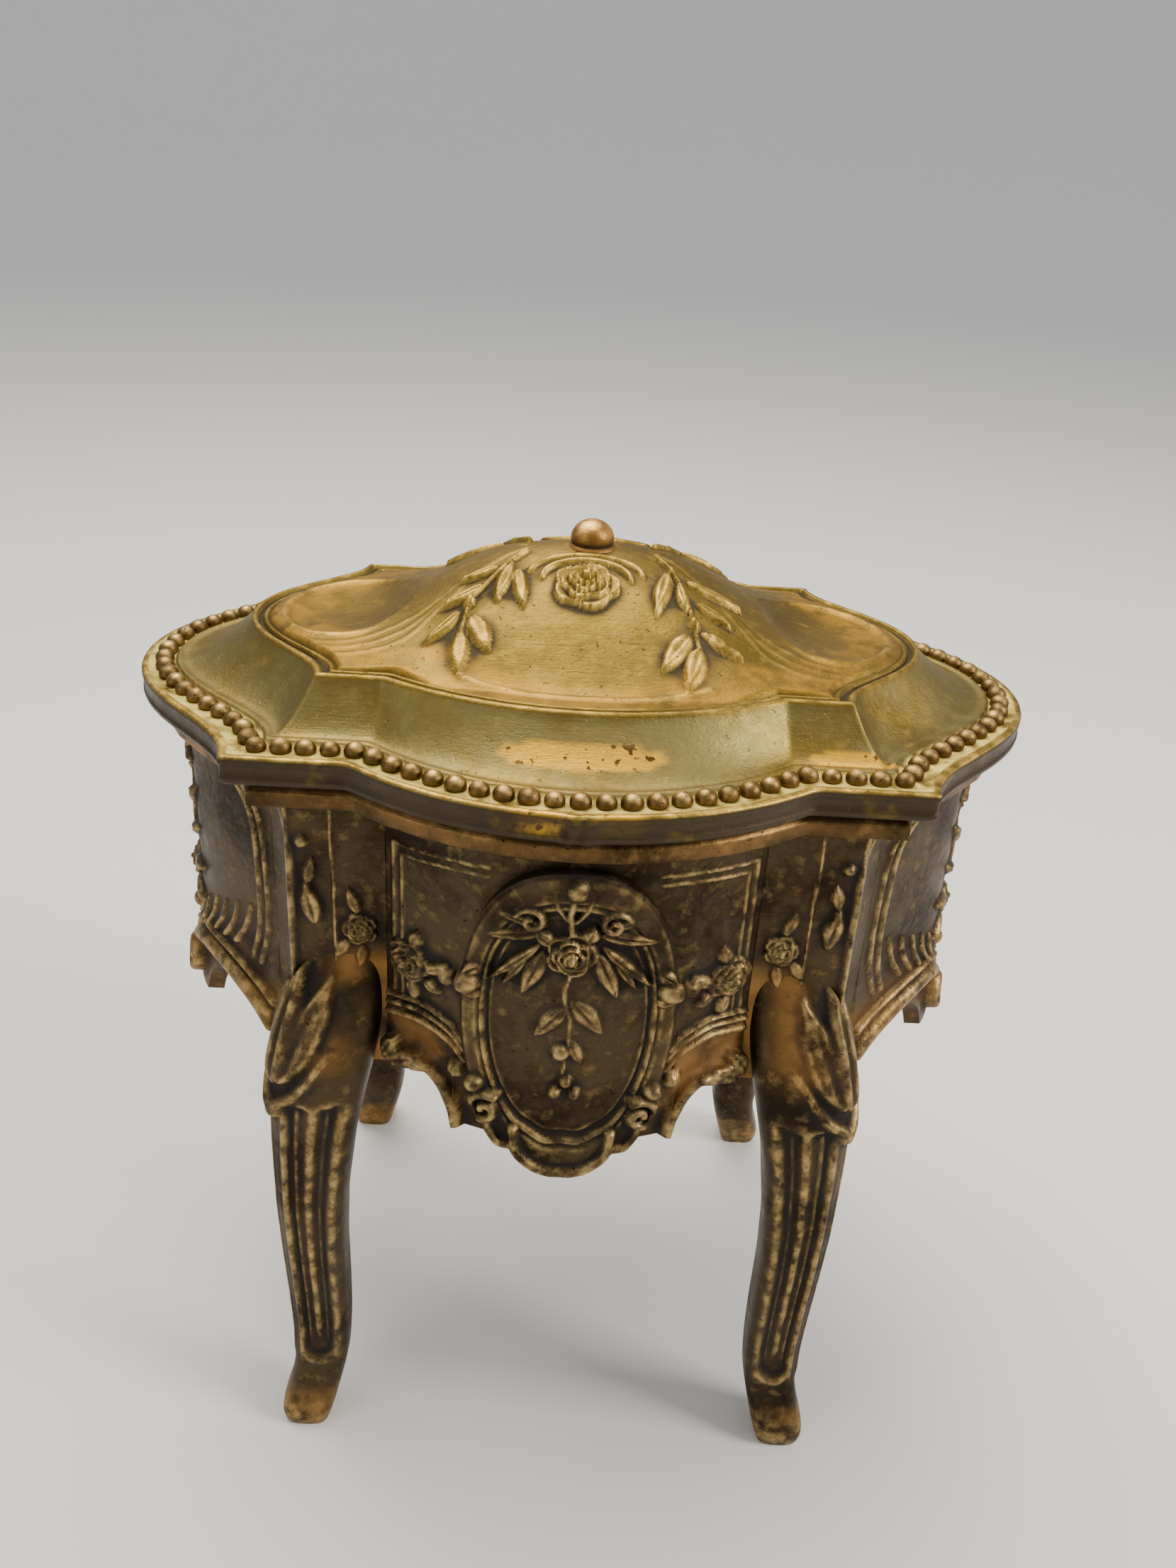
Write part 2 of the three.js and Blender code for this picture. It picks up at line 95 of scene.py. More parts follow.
def mix(a, b, t):
    return {k: a[k] + (b[k] - a[k]) * t for k in a}


def scaled(o, s):
    return {k: v * s for k, v in o.items()}


CAVITY = inset(WALL, WALL_THICK)
FLANGE_OUT = inset(CAVITY, 0.4)
FLANGE_IN = inset(FLANGE_OUT, 1.2)


def bow(o, x):
    """Distance of the bowed front from the middle plane."""
    rise = o["y"] - o["cy"]
    if rise <= 0:
        return np.full_like(np.asarray(x, float), o["y"])
    radius = (o["nx"] ** 2 + rise**2) / (2 * rise)
    return o["y"] - radius + np.sqrt(np.maximum(radius**2 - np.asarray(x, float) ** 2, 0))


def end_curve(o, t):
    """Half of an end, from its corner to the middle."""
    a, b, c, d = (1 - t) ** 3, 3 * (1 - t) ** 2 * t, 3 * (1 - t) * t**2, t**3
    return (a + b) * o["cx"] + (c + d) * o["x"], -(a + 0.7 * b + 0.5 * c) * o["cy"]


def end(o, y):
    x, depth = end_curve(o, np.linspace(0, 1, 600))
    return np.interp(np.abs(y), -depth[::-1], x[::-1])


def outline(o, parts=(54, 30, 66), soften=2):
    """The closed plan, counter-clockwise from the middle of the front, corners slightly eased."""
    x1 = np.linspace(0, o["nx"], parts[0], endpoint=False)
    x2 = np.linspace(o["nx"], o["cx"], parts[1], endpoint=False)
    x3, y3 = end_curve(o, np.linspace(0, 1, parts[2] + 1))
    qx = np.concatenate([x1, x2, x3])
    qy = np.concatenate([-bow(o, x1), np.full(len(x2), -float(o["cy"])), y3])
    hx = np.concatenate([qx, qx[-2::-1]])
    hy = np.concatenate([qy, -qy[-2::-1]])
    pts = np.stack([np.concatenate([hx, -hx[-2:0:-1]]), np.concatenate([hy, hy[-2:0:-1]])], 1)
    for _ in range(soften):
        pts = (np.roll(pts, 1, 0) + 2 * pts + np.roll(pts, -1, 0)) / 4
    return pts


def smooth(t):
    """Eases from 0 to 1 as t goes from 0 to 1, and stays there."""
    t = np.clip(t, 0, 1)
    return t * t * (3 - 2 * t)


def hump(off, width):
    """A bell of height 1 over off = 0."""
    return np.exp(-((off / width) ** 2))


def domed(t):
    """A round top of height 1 that meets the ground at t = 1 and t = -1."""
    return np.sqrt(np.clip(1 - t**2, 0, 1))


def squared(angle, power):
    """Reach of a circle swollen towards a square."""
    return (np.abs(np.cos(angle)) ** power + np.abs(np.sin(angle)) ** power) ** (-1 / power)


def wrapped(angle):
    """The same angle, between minus and plus half a turn."""
    return (angle + np.pi) % (2 * np.pi) - np.pi


def run_along(path):
    """Length of the path up to each of its points."""
    return np.concatenate([[0], np.cumsum(np.hypot(*np.diff(path, axis=0).T))])


def flare(z):
    return 1.3 * np.maximum(0, (76 - z) / 21) ** 2


def apron(distance, tip, top, low, high, fall, swoop=0.0):
    """Lower edge of an apron: level, up into an arch, down towards the leg."""
    t = np.clip((distance - tip) / (top - tip), 0, 1)
    rising = low + (high - low) * np.sqrt(1 - (1 - t) ** 2)
    beyond = np.maximum(distance - top, 0)
    return np.where(distance > top, high - fall * beyond - swoop * beyond**2, rising)


# ---- Relief carving ---------------------------------------------------------------------------
def spline(points, steps=8):
    """A smooth run of points through the given ones."""
    p = np.asarray(points, float)
    p = np.vstack([2 * p[0] - p[1], p, 2 * p[-1] - p[-2]])
    out = []
    for i in range(1, len(p) - 2):
        for t in np.linspace(0, 1, steps, endpoint=False):
            out.append(
                0.5
                * (
                    2 * p[i]
                    + (p[i + 1] - p[i - 1]) * t
                    + (2 * p[i - 1] - 5 * p[i] + 4 * p[i + 1] - p[i + 2]) * t**2
                    + (3 * p[i] - p[i - 1] - 3 * p[i + 1] + p[i + 2]) * t**3
                )
            )
    return np.array(out + [p[-2]])


def volute(centre, radius, turns, start, hand=1):
    """Points of a scroll that winds into its centre."""
    t = np.linspace(0, 1, int(14 * turns) + 2)
    angle = math.radians(start) + hand * 2 * np.pi * turns * t
    r = radius * (1 - 0.85 * t)
    return np.stack([centre[0] + r * np.cos(angle), centre[1] + r * np.sin(angle)], 1)


# Rings of a rose's petals: reach, how many, turn and level.
PETALS = ((1.0, 5, 0.0, 0.3), (0.76, 5, 0.7, 0.5), (0.54, 4, 0.2, 0.68), (0.33, 3, 1.0, 0.82))


class Relief:
    """Heights in millimetres over a sheet whose points lie at (s, z)."""

    def __init__(self, s, z):
        self.s, self.z = s, z
        self.h = np.zeros_like(s)

    def near(self, low, high):
        m = (self.s > low[0]) & (self.s < high[0]) & (self.z > low[1]) & (self.z < high[1])
        return m, self.s[m], self.z[m]

    def lay(self, mask, height):
        self.h[mask] = np.maximum(self.h[mask], height)

    def both(self, method, *args, **kw):
        """Carves a motif and its mirror image across s = 0."""
        getattr(self, method)(*args, **kw)
        flipped = [self._flip(a) for a in args]
        getattr(self, method)(*flipped, **kw)

    @staticmethod
    def _flip(a):
        if isinstance(a, tuple) and len(a) == 2:
            return (-a[0], a[1])
        if isinstance(a, (list, np.ndarray)):
            return np.asarray(a, float) * np.array([-1, 1])
        return a

    def ridge(self, points, width, height, taper=0.0, base=0.0):
        p = np.asarray(points, float)
        m, s, z = self.near(p.min(0) - width, p.max(0) + width)
        if not m.any():
            return
        best = np.full(s.shape, 1e9)
        along = np.zeros(s.shape)
        for i in range(len(p) - 1):
            d = p[i + 1] - p[i]
            n = max(float(d @ d), 1e-9)
            t = np.clip(((s - p[i][0]) * d[0] + (z - p[i][1]) * d[1]) / n, 0, 1)
            gap = np.hypot(s - p[i][0] - t * d[0], z - p[i][1] - t * d[1])
            closer = gap < best
            best = np.where(closer, gap, best)
            along = np.where(closer, (i + t) / (len(p) - 1), along)
        size = 1 - taper * along
        rise = height * size * domed(best / (width / 2 * size))
        self.lay(m, np.where(rise > 0, rise + base, 0))

    def bead(self, centre, radius, height, base=0.0):
        c = np.array(centre)
        m, s, z = self.near(c - radius, c + radius)
        d = np.hypot(s - c[0], z - c[1]) / radius
        self.lay(m, np.where(d < 1, base + height * domed(d), 0))

    def leaf(self, root, tip, width, height, base=0.0):
        a, b = np.array(root, float), np.array(tip, float)
        length = np.linalg.norm(b - a)
        u = (b - a) / length
        m, s, z = self.near(np.minimum(a, b) - width, np.maximum(a, b) + width)
        p = ((s - a[0]) * u[0] + (z - a[1]) * u[1]) / length
        q = -(s - a[0]) * u[1] + (z - a[1]) * u[0]
        half = width / 2 * np.sin(np.pi * np.clip(p, 0, 1) ** 0.8)
        e = np.abs(q) / np.maximum(half, 1e-3)
        rise = height * domed(e) * (0.65 + 0.45 * np.clip(p, 0, 1))
        vein = 0.3 * height * hump(q, 0.07 * width)
        inside = (p > 0) & (p < 1) & (e < 1)
        self.lay(m, np.where(inside, base + rise - vein, 0))

    def rose(self, centre, radius, height, squash=1.0, base=0.0, turn=0.0):
        c = np.array(centre)
        m, s, z = self.near(c - radius, c + radius)
        d = np.hypot(s - c[0], (z - c[1]) / squash) / radius
        angle = np.arctan2((z - c[1]) / squash, s - c[0]) + turn
        rise = np.zeros(s.shape)
        for reach, count, phase, level in PETALS:
            edge = reach * (0.84 + 0.16 * np.abs(np.cos(count / 2 * (angle + phase))))
            rim = np.clip(d / edge, 0, 1)
            petal = height * (level - 0.2 + 0.32 * rim**3)
            fall = smooth((edge - d) / 0.05)
            rise = np.where(d < edge, np.maximum(rise * (1 - fall), petal * fall), rise)
        rise = np.maximum(rise, np.where(d < 0.13, height * 0.95, 0))
        self.lay(m, np.where(rise > 0, base + rise, 0))

    def soften(self):
        self.h = 0.5 * self.h + 0.5 * box_blur(self.h, 1)


def box_blur(a, r, wrap=False):
    """Mean over a square of 2r + 1 points, at the same array size."""
    for axis in (0, 1):
        pad = [(r, r) if k == axis else (0, 0) for k in (0, 1)]
        mode = "wrap" if wrap and axis == 0 else "edge"
        c = np.cumsum(np.pad(a, pad, mode=mode), axis=axis)
        c = np.concatenate([np.zeros_like(np.take(c, [0], axis)), c], axis)
        n = a.shape[axis]
        high = np.take(c, np.arange(2 * r + 1, 2 * r + 1 + n), axis)
        low = np.take(c, np.arange(0, n), axis)
        a = (high - low) / (2 * r + 1)
    return a


def hollows_and_crests(h, reach=6, wrap=False):
    """How deep each point lies below its surroundings, and how proud it stands, both 0 to 1. Depth is laid as patina
    and painted shade, standing proud as rubbed metal and painted highlight.
    """
    around = box_blur(box_blur(h, reach, wrap), reach, wrap)
    close = box_blur(h, 2, wrap)
    deep = np.clip((around - h) / 0.28, 0, 1)
    proud = np.clip((h - around) / 0.35, 0, 1) * 0.7 + np.clip((h - close) / 0.06, 0, 1) * 0.5
    return deep, np.clip(proud, 0, 1)


# ---- Meshes -----------------------------------------------------------------------------------
def slab(across, up):
    """A closed flat slab; each vertex gives its column, row and whether it is on the front."""
    bm = bmesh.new()
    bmesh.ops.create_grid(bm, x_segments=across, y_segments=up, size=1.0)
    more = bmesh.ops.extrude_face_region(bm, geom=bm.faces[:])
    raised = [v for v in more["geom"] if isinstance(v, bmesh.types.BMVert)]
    bmesh.ops.translate(bm, vec=(0, 0, 1), verts=raised)
    face_outwards(bm)
    return numbered(bm)


def sheet_grid(across, up):
    bm = bmesh.new()
    bmesh.ops.create_grid(bm, x_segments=across, y_segments=up, size=1.0)
    return numbered(bm)


def turned_into_mesh(bm, name):
    mesh = bpy.data.meshes.new(name)
    bm.to_mesh(mesh)
    bm.free()
    return mesh


def points(mesh):
    """Places of the mesh's vertices, in metres."""
    co = np.empty(len(mesh.vertices) * 3)
    mesh.vertices.foreach_get("co", co)
    return co.reshape(-1, 3)


def place(mesh, where):
    """Puts every vertex in its place, given in metres."""
    mesh.vertices.foreach_set("co", where.astype(np.float32).ravel())
    mesh.update()


def face_outwards(bm):
    bmesh.ops.recalc_face_normals(bm, faces=bm.faces[:])


def shade_smooth(mesh):
    mesh.polygons.foreach_set("use_smooth", np.ones(len(mesh.polygons), bool))


def along_columns(values, n):
    """One value for each column, repeated up a grid of n columns and rows."""
    return values[:, None] * np.ones((1, n[1]))


def along_rows(values, n):
    """One value for each row, repeated across a grid of n columns and rows."""
    return values[None, :] * np.ones((n[0], 1))


def on_faces(front, i, j, face, back):
    """Values of a slab's vertices, from the grids of its front and back faces."""
    return np.where(front, face[i, j], back[i, j])


def numbered(bm):
    """The grid's mesh, its size, each vertex's column and row, and whether it is in front."""
    mesh = turned_into_mesh(bm, "work")
    co = points(mesh)
    n = [len(np.unique(np.round(co[:, k], 5))) for k in (0, 1)]
    i = np.rint((co[:, 0] + 1) / 2 * (n[0] - 1)).astype(int)
    j = np.rint((co[:, 1] + 1) / 2 * (n[1] - 1)).astype(int)
    return mesh, n, i, j, co[:, 2] > 0.5


def drape(mesh, where):
    """Puts every vertex in its place, given in millimetres."""
    place(mesh, where * MM)


def mark(mesh, name, values):
    layer = mesh.attributes.new(name, "FLOAT", "POINT")
    layer.data.foreach_set("value", np.asarray(values, np.float32))


def piece(mesh, name, body, material, hides=(), sharp=50):
    """Names the finished mesh's object, sets it on its body and gives it its finish."""
    mesh.name = name
    shade_smooth(mesh)
    mesh.set_sharp_from_angle(angle=math.radians(sharp))
    o = bpy.data.objects.new(name, mesh)
    bpy.context.scene.collection.objects.link(o)
    mesh.materials.append(material)
    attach(o, body)
    if hides:
        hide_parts(*hides)
    return o


def spun(profile, steps):
    """A turned shape from points (radius, height) in metres."""
    bm = bmesh.new()
    verts = [bm.verts.new((r, 0, z)) for r, z in profile]
    edges = [bm.edges.new(pair) for pair in zip(verts, verts[1:])]
    bmesh.ops.spin(
        bm, geom=verts + edges, cent=(0, 0, 0), axis=(0, 0, 1), angle=2 * math.pi, steps=steps, use_merge=True
    )
    bmesh.ops.remove_doubles(bm, verts=bm.verts[:], dist=1e-6)
    face_outwards(bm)
    return turned_into_mesh(bm, "turned")


def edit(mesh, *steps):
    """Runs bmesh steps on a mesh that is already in place."""
    bm = bmesh.new()
    bm.from_mesh(mesh)
    for step in steps:
        step(bm)
    bm.to_mesh(mesh)
    bm.free()
    mesh.update()


def weld(bm, distance=0.004):
    bmesh.ops.remove_doubles(bm, verts=bm.verts[:], dist=distance * MM)
    bmesh.ops.dissolve_degenerate(bm, edges=bm.edges[:], dist=1e-7)


def cap(bm):
    bmesh.ops.holes_fill(bm, edges=[e for e in bm.edges if e.is_boundary], sides=0)
    face_outwards(bm)


# ---- Finishes ---------------------------------------------------------------------------------
def link(tree, a, b):
    tree.links.new(a, b)


def node(tree, kind, **values):
    n = tree.nodes.new(kind)
    for k, v in values.items():
        if k in n.inputs:
            n.inputs[k].default_value = v
        else:
            setattr(n, k, v)
    return n


def feed(tree, value, socket):
    """Links another node's output to the socket, or sets the socket to a plain value."""
    if hasattr(value, "links"):
        link(tree, value, socket)
    else:
        socket.default_value = value


def blend_colour(tree, a, b, factor):
    m = tree.nodes.new("ShaderNodeMix")
    m.data_type = "RGBA"
    for socket, value in ((m.inputs[6], a), (m.inputs[7], b), (m.inputs[0], factor)):
        feed(tree, value, socket)
    return m.outputs[2]


def maths(tree, operation, a, b, clamp):
    m = tree.nodes.new("ShaderNodeMath")
    m.operation, m.use_clamp = operation, clamp
    feed(tree, a, m.inputs[0])
    feed(tree, b, m.inputs[1])
    return m.outputs[0]


def times(tree, a, b, clamp=False):
    return maths(tree, "MULTIPLY", a, b, clamp)


def plus(tree, a, b, clamp=False):
    return maths(tree, "ADD", a, b, clamp)


def minus(tree, a, b, clamp=False):
    return maths(tree, "SUBTRACT", a, b, clamp)


def attribute(tree, name):
    return node(tree, "ShaderNodeAttribute", attribute_name=name).outputs["Fac"]


def object_coords(tree):
    return tree.nodes.new("ShaderNodeTexCoord").outputs["Object"]


def noise(tree, coords, scale, detail=4.0, rough=0.55):
    n = node(tree, "ShaderNodeTexNoise", Scale=scale, Detail=detail, Roughness=rough)
    link(tree, coords, n.inputs["Vector"])
    return n.outputs["Fac"]


def spread(tree, value, low, high):
    """Stretches low..high to 0..1."""
    m = node(tree, "ShaderNodeMapRange", interpolation_type="SMOOTHSTEP")
    m.inputs["From Min"].default_value = low
    m.inputs["From Max"].default_value = high
    link(tree, value, m.inputs["Value"])
    return m.outputs["Result"]


def old_brass_group():
    """Cast brass that has darkened in its hollows, where painted shade is laid too, and been rubbed bright on its
    high places, where painted highlight is laid too.
    """
    g = bpy.data.node_groups.new("Old brass", "ShaderNodeTree")
    for name, kind in (
        ("Deep", "NodeSocketFloat"),
        ("Proud", "NodeSocketFloat"),
        ("Body", "NodeSocketColor"),
        ("Bright", "NodeSocketColor"),
        ("Dark", "NodeSocketColor"),
        ("Tarnish", "NodeSocketFloat"),
    ):
        g.interface.new_socket(name=name, in_out="INPUT", socket_type=kind)
    for name, kind in (
        ("Colour", "NodeSocketColor"),
        ("Roughness", "NodeSocketFloat"),
        ("Metallic", "NodeSocketFloat"),
        ("Height", "NodeSocketFloat"),
    ):
        g.interface.new_socket(name=name, in_out="OUTPUT", socket_type=kind)
    i = g.nodes.new("NodeGroupInput").outputs
    o = g.nodes.new("NodeGroupOutput").inputs
    coords = object_coords(g)
    broad = noise(g, coords, 75, 5)
    mottle = noise(g, coords, 520, 6, 0.62)
    fine = noise(g, coords, 2600, 3, 0.6)
    pits = spread(g, noise(g, coords, 1500, 2), 0.67, 0.74)
    brushed = g.nodes.new("ShaderNodeMapping")
    brushed.inputs["Scale"].default_value = (260, 5200, 5200)
    link(g, coords, brushed.inputs["Vector"])
    lines = noise(g, brushed.outputs["Vector"], 1, 3, 0.6)
    clouds = plus(g, times(g, broad, 0.7), times(g, mottle, 0.3))
    veil = times(g, spread(g, clouds, 0.42, 0.6), i["Tarnish"])
    shade = blend_colour(g, i["Body"], i["Dark"], veil)
    flecked = blend_colour(g, shade, i["Bright"], times(g, spread(g, mottle, 0.5, 0.75), 0.3))
    flecked = blend_colour(g, flecked, i["Dark"], times(g, spread(g, lines, 0.5, 0.72), 0.3))
    # Hollows darken as patina and as painted shade.
    hollow = plus(g, i["Deep"], times(g, minus(g, mottle, 0.5), 0.9), True)
    hollow = times(g, hollow, plus(g, i["Deep"], 0.12), True)
    patina_and_shade = blend_colour(g, flecked, i["Dark"], times(g, hollow, 1.15, True))
    # High places brighten as rubbed metal and as painted highlight.
    rub_and_highlight = times(g, i["Proud"], spread(g, mottle, 0.33, 0.72), True)
    worn = blend_colour(g, patina_and_shade, i["Bright"], rub_and_highlight)
    spotted = blend_colour(g, worn, i["Dark"], times(g, pits, 0.75))
    link(g, spotted, o["Colour"])
    r = plus(g, 0.33, times(g, mottle, 0.26))
    r = plus(g, r, times(g, veil, 0.12))
    r = plus(g, r, times(g, hollow, 0.3))
    r = minus(g, r, times(g, rub_and_highlight, 0.1), True)
    link(g, r, o["Roughness"])
    link(g, minus(g, 1.0, times(g, hollow, 0.55), True), o["Metallic"])
    bumps = plus(g, times(g, mottle, 0.6), times(g, fine, 0.3))
    bumps = plus(g, bumps, times(g, lines, 0.25))
    link(g, minus(g, bumps, times(g, pits, 0.4)), o["Height"])
    return g


def brass(name, body, bright, dark, tarnish, extra=None):
    """A cast-brass material; extra may lay another colour and roughness over the group's."""
    m = bpy.data.materials.new(name)
    m.use_nodes = True
    t = m.node_tree
    shader = t.nodes["Principled BSDF"]
    shader.inputs["Specular IOR Level"].default_value = 0.5
    g = t.nodes.new("ShaderNodeGroup")
    g.node_tree = bpy.data.node_groups.get("Old brass") or old_brass_group()
    g.inputs["Body"].default_value = (*body, 1)
    g.inputs["Bright"].default_value = (*bright, 1)
    g.inputs["Dark"].default_value = (*dark, 1)
    g.inputs["Tarnish"].default_value = tarnish
    for layer, socket in (("deep", "Deep"), ("proud", "Proud")):
        link(t, attribute(t, layer), g.inputs[socket])
    colour, rough, metal = g.outputs["Colour"], g.outputs["Roughness"], g.outputs["Metallic"]
    if extra:
        colour, rough, metal = extra(t, colour, rough, metal)
    link(t, colour, shader.inputs["Base Color"])
    link(t, rough, shader.inputs["Roughness"])
    link(t, metal, shader.inputs["Metallic"])
    bump = node(t, "ShaderNodeBump", Strength=0.55, Distance=0.00025)
    link(t, g.outputs["Height"], bump.inputs["Height"])
    link(t, bump.outputs["Normal"], shader.inputs["Normal"])
    return m


def lid_layers(t, colour, rough, metal):
    """Pale crust in the bead channel, a warm flat band, bare coppery patches and a side darkened with patina and
    painted shade.
    """
    coords = object_coords(t)
    patchy = noise(t, coords, 420, 5)
    warm = times(t, attribute(t, "warm"), spread(t, noise(t, coords, 260, 4), 0.32, 0.6))
    colour = blend_colour(t, colour, (0.38, 0.205, 0.025, 1), times(t, warm, 0.65))
    grey = times(t, attribute(t, "cove"), spread(t, noise(t, coords, 110, 4), 0.2, 0.65))
    colour = blend_colour(t, colour, (0.22, 0.185, 0.07, 1), times(t, grey, 0.75))
    bare = attribute(t, "bare")
    specks = spread(t, noise(t, coords, 900, 2), 0.6, 0.66)
    bare_colour = blend_colour(t, (0.62, 0.36, 0.035, 1), (0.10, 0.045, 0.012, 1), specks)
    colour = blend_colour(t, colour, bare_colour, bare)
    crust = times(t, attribute(t, "crust"), spread(t, patchy, 0.24, 0.5))
    crusted = blend_colour(t, (0.38, 0.28, 0.05, 1), (0.70, 0.56, 0.14, 1), spread(t, patchy, 0.38, 0.62))
    colour = blend_colour(t, colour, crusted, crust)
    # The rim's outer side is darkened: patina with painted shade.
    side = times(t, attribute(t, "side"), spread(t, noise(t, coords, 190, 5), 0.75, 0.55))
    colour = blend_colour(t, colour, (0.035, 0.022, 0.012, 1), times(t, side, 0.93))
    rough = plus(t, rough, times(t, crust, 0.3), True)
    metal = minus(t, metal, times(t, crust, 0.8), True)
    metal = minus(t, metal, times(t, side, 0.3), True)
    return colour, rough, metal


def body_layers(t, colour, rough, metal):
    """Warm places on the body where the patina has worn thin."""
    coords = object_coords(t)
    thin = times(t, attribute(t, "bare"), spread(t, noise(t, coords, 130, 5), 0.36, 0.6))
    return blend_colour(t, colour, (0.34, 0.175, 0.05, 1), thin), rough, metal


def frame_layers(t, colour, rough, metal):
    """Coppery places where the finish has been rubbed off."""
    coords = object_coords(t)
    rubbed = spread(t, noise(t, coords, 70, 4), 0.53, 0.64)
    colour = blend_colour(t, colour, (0.36, 0.17, 0.055, 1), times(t, rubbed, 0.55))
    return colour, rough, metal


def silk(name, colour):
    """Woven silk, faded in broad patches, with painted shade in its seams, puckers and lower sides."""
    m = bpy.data.materials.new(name)
    m.use_nodes = True
    t = m.node_tree
    shader = t.nodes["Principled BSDF"]
    coords = object_coords(t)
    fade = spread(t, noise(t, coords, 45, 4), 0.3, 0.75)
    faded = tuple(min(1, c * 1.35 + 0.02) for c in colour)
    cloth_colour = blend_colour(t, (*colour, 1), (*faded, 1), fade)
    # Seams, puckers and lower sides are darkened as painted shade.
    painted_fold_shade = tuple(c * 0.35 for c in colour)
    cloth_colour = blend_colour(t, cloth_colour, (*painted_fold_shade, 1), times(t, attribute(t, "deep"), 0.8))
    link(t, cloth_colour, shader.inputs["Base Color"])
    shader.inputs["Roughness"].default_value = 0.6
    shader.inputs["Specular IOR Level"].default_value = 0.22
    shader.inputs["Sheen Weight"].default_value = 0.05
    shader.inputs["Sheen Roughness"].default_value = 0.4
    warp = node(t, "ShaderNodeTexWave", Scale=900, Distortion=1.5)
    weft = node(t, "ShaderNodeTexWave", Scale=900, Distortion=1.5, bands_direction="Y")
    for w in (warp, weft):
        link(t, coords, w.inputs["Vector"])
    cloth = plus(t, warp.outputs["Fac"], weft.outputs["Fac"])
    bump = node(t, "ShaderNodeBump", Strength=0.25, Distance=0.0001)
    link(t, cloth, bump.inputs["Height"])
    link(t, bump.outputs["Normal"], shader.inputs["Normal"])
    return m


def finish(name):
    """The named finish, made the first time it is asked for."""
    if name in bpy.data.materials:
        return bpy.data.materials[name]
    c = bpy.context.scene.trinket_colours
    dark = tuple(c.patina)
    if name == "Lid brass":
        return brass(name, tuple(c.lid), (0.64, 0.42, 0.085), (0.05, 0.036, 0.011), 0.55, lid_layers)
    if name == "Bead brass":
        return brass(name, (0.16, 0.10, 0.034), (0.74, 0.50, 0.17), (0.05, 0.03, 0.01), 0.6)
    if name == "Finial brass":
        return brass(name, (0.30, 0.15, 0.038), (0.84, 0.50, 0.14), (0.05, 0.03, 0.01), 0.3)
    # The body's darker brass carries painted shade as well as patina.
    if name == "Body brass":
        return brass(name, tuple(c.body), (0.47, 0.325, 0.13), dark, 0.9, body_layers)
    if name == "Frame brass":
        return brass(name, (0.16, 0.09, 0.033), (0.50, 0.30, 0.10), dark, 0.8, frame_layers)
    if name == "Hardware brass":
        return brass(name, (0.30, 0.21, 0.09), (0.6, 0.45, 0.2), dark, 0.5)
    return silk(name, tuple(c.silk))


# ---- Settings ---------------------------------------------------------------------------------
class TrinketSizes(bpy.types.PropertyGroup):
    relief: bpy.props.FloatProperty(
        name="Relief", description="How boldly the ornament stands off its ground", default=1.0, min=0.2, max=1.5
    )
    bead_radius: bpy.props.FloatProperty(
        name="Bead radius", description="Radius of one bead of the lid's border", default=0.0012, unit="LENGTH"
    )
    bead_pitch: bpy.props.FloatProperty(
        name="Bead pitch", description="Distance from one bead to the next", default=0.00266, unit="LENGTH"
    )
    floor_radius: bpy.props.FloatProperty(
        name="Floor radius", description="Reach of the stage's flat floor", default=1.3, unit="LENGTH"
    )


class TrinketColours(bpy.types.PropertyGroup):
    lid: bpy.props.FloatVectorProperty(
        name="Lid", description="Brass of the lid", default=(0.22, 0.145, 0.026), subtype="COLOR", size=3
    )
    # Kept darker than the lid's brass: dark patina together with painted shade, as if the body stood in shade.
    body: bpy.props.FloatVectorProperty(
        name="Body", description="Brass of the body", default=(0.066, 0.045, 0.024), subtype="COLOR", size=3
    )
    # Laid as tarnish, and in hollows as patina and as painted shade.
    patina: bpy.props.FloatVectorProperty(
        name="Patina", description="Dark patina in hollows", default=(0.016, 0.010, 0.006), subtype="COLOR", size=3
    )
    silk: bpy.props.FloatVectorProperty(
        name="Silk", description="Silk of the cushion", default=(0.11, 0.016, 0.022), subtype="COLOR", size=3
    )


# ---- Pieces -----------------------------------------------------------------------------------
def wall_grid(across, up, half, edge):
    """Slab, and the distance along and height of each of its points."""
    mesh, n, i, j, front = slab(across, up)
    s = along_columns(np.linspace(-half, half, n[0]), n)
    low = edge(np.abs(s))
    z = low + (WALL_TOP - low) * np.linspace(0, 1, n[1])[None, :]
    return mesh, i, j, front, s, z


def lay_wall(mesh, i, j, front, s, z, outer, inner, h, turn):
    """Maps a wall facing -Y, raises its relief along the plan's normal and turns it to its side."""
    slope = np.gradient(outer, s[:, 0], axis=0)
    length = np.hypot(slope, 1)
    fx, fy = s + h * -slope / length, -(outer + flare(z)) - h / length
    x = on_faces(front, i, j, fx, s)
    y = on_faces(front, i, j, fy, -(inner + flare(z)))
    c, k = math.cos(turn), math.sin(turn)
    drape(mesh, np.stack([x * c - y * k, x * k + y * c, z[i, j]], 1))


def mark_hollows_and_crests(mesh, i, j, h, reach=5, front=None, wrap=False):
    # Hollows get patina and painted shade, crests rubbed metal and painted highlight; back faces get a fixed
    # darkening and no brightening.
    deep, proud = hollows_and_crests(h, reach, wrap)
    d, p = deep[i, j], proud[i, j]
    if front is not None:
        d, p = np.where(front, d, 0.25), np.where(front, p, 0)
    mark(mesh, "deep", d)
    mark(mesh, "proud", p)


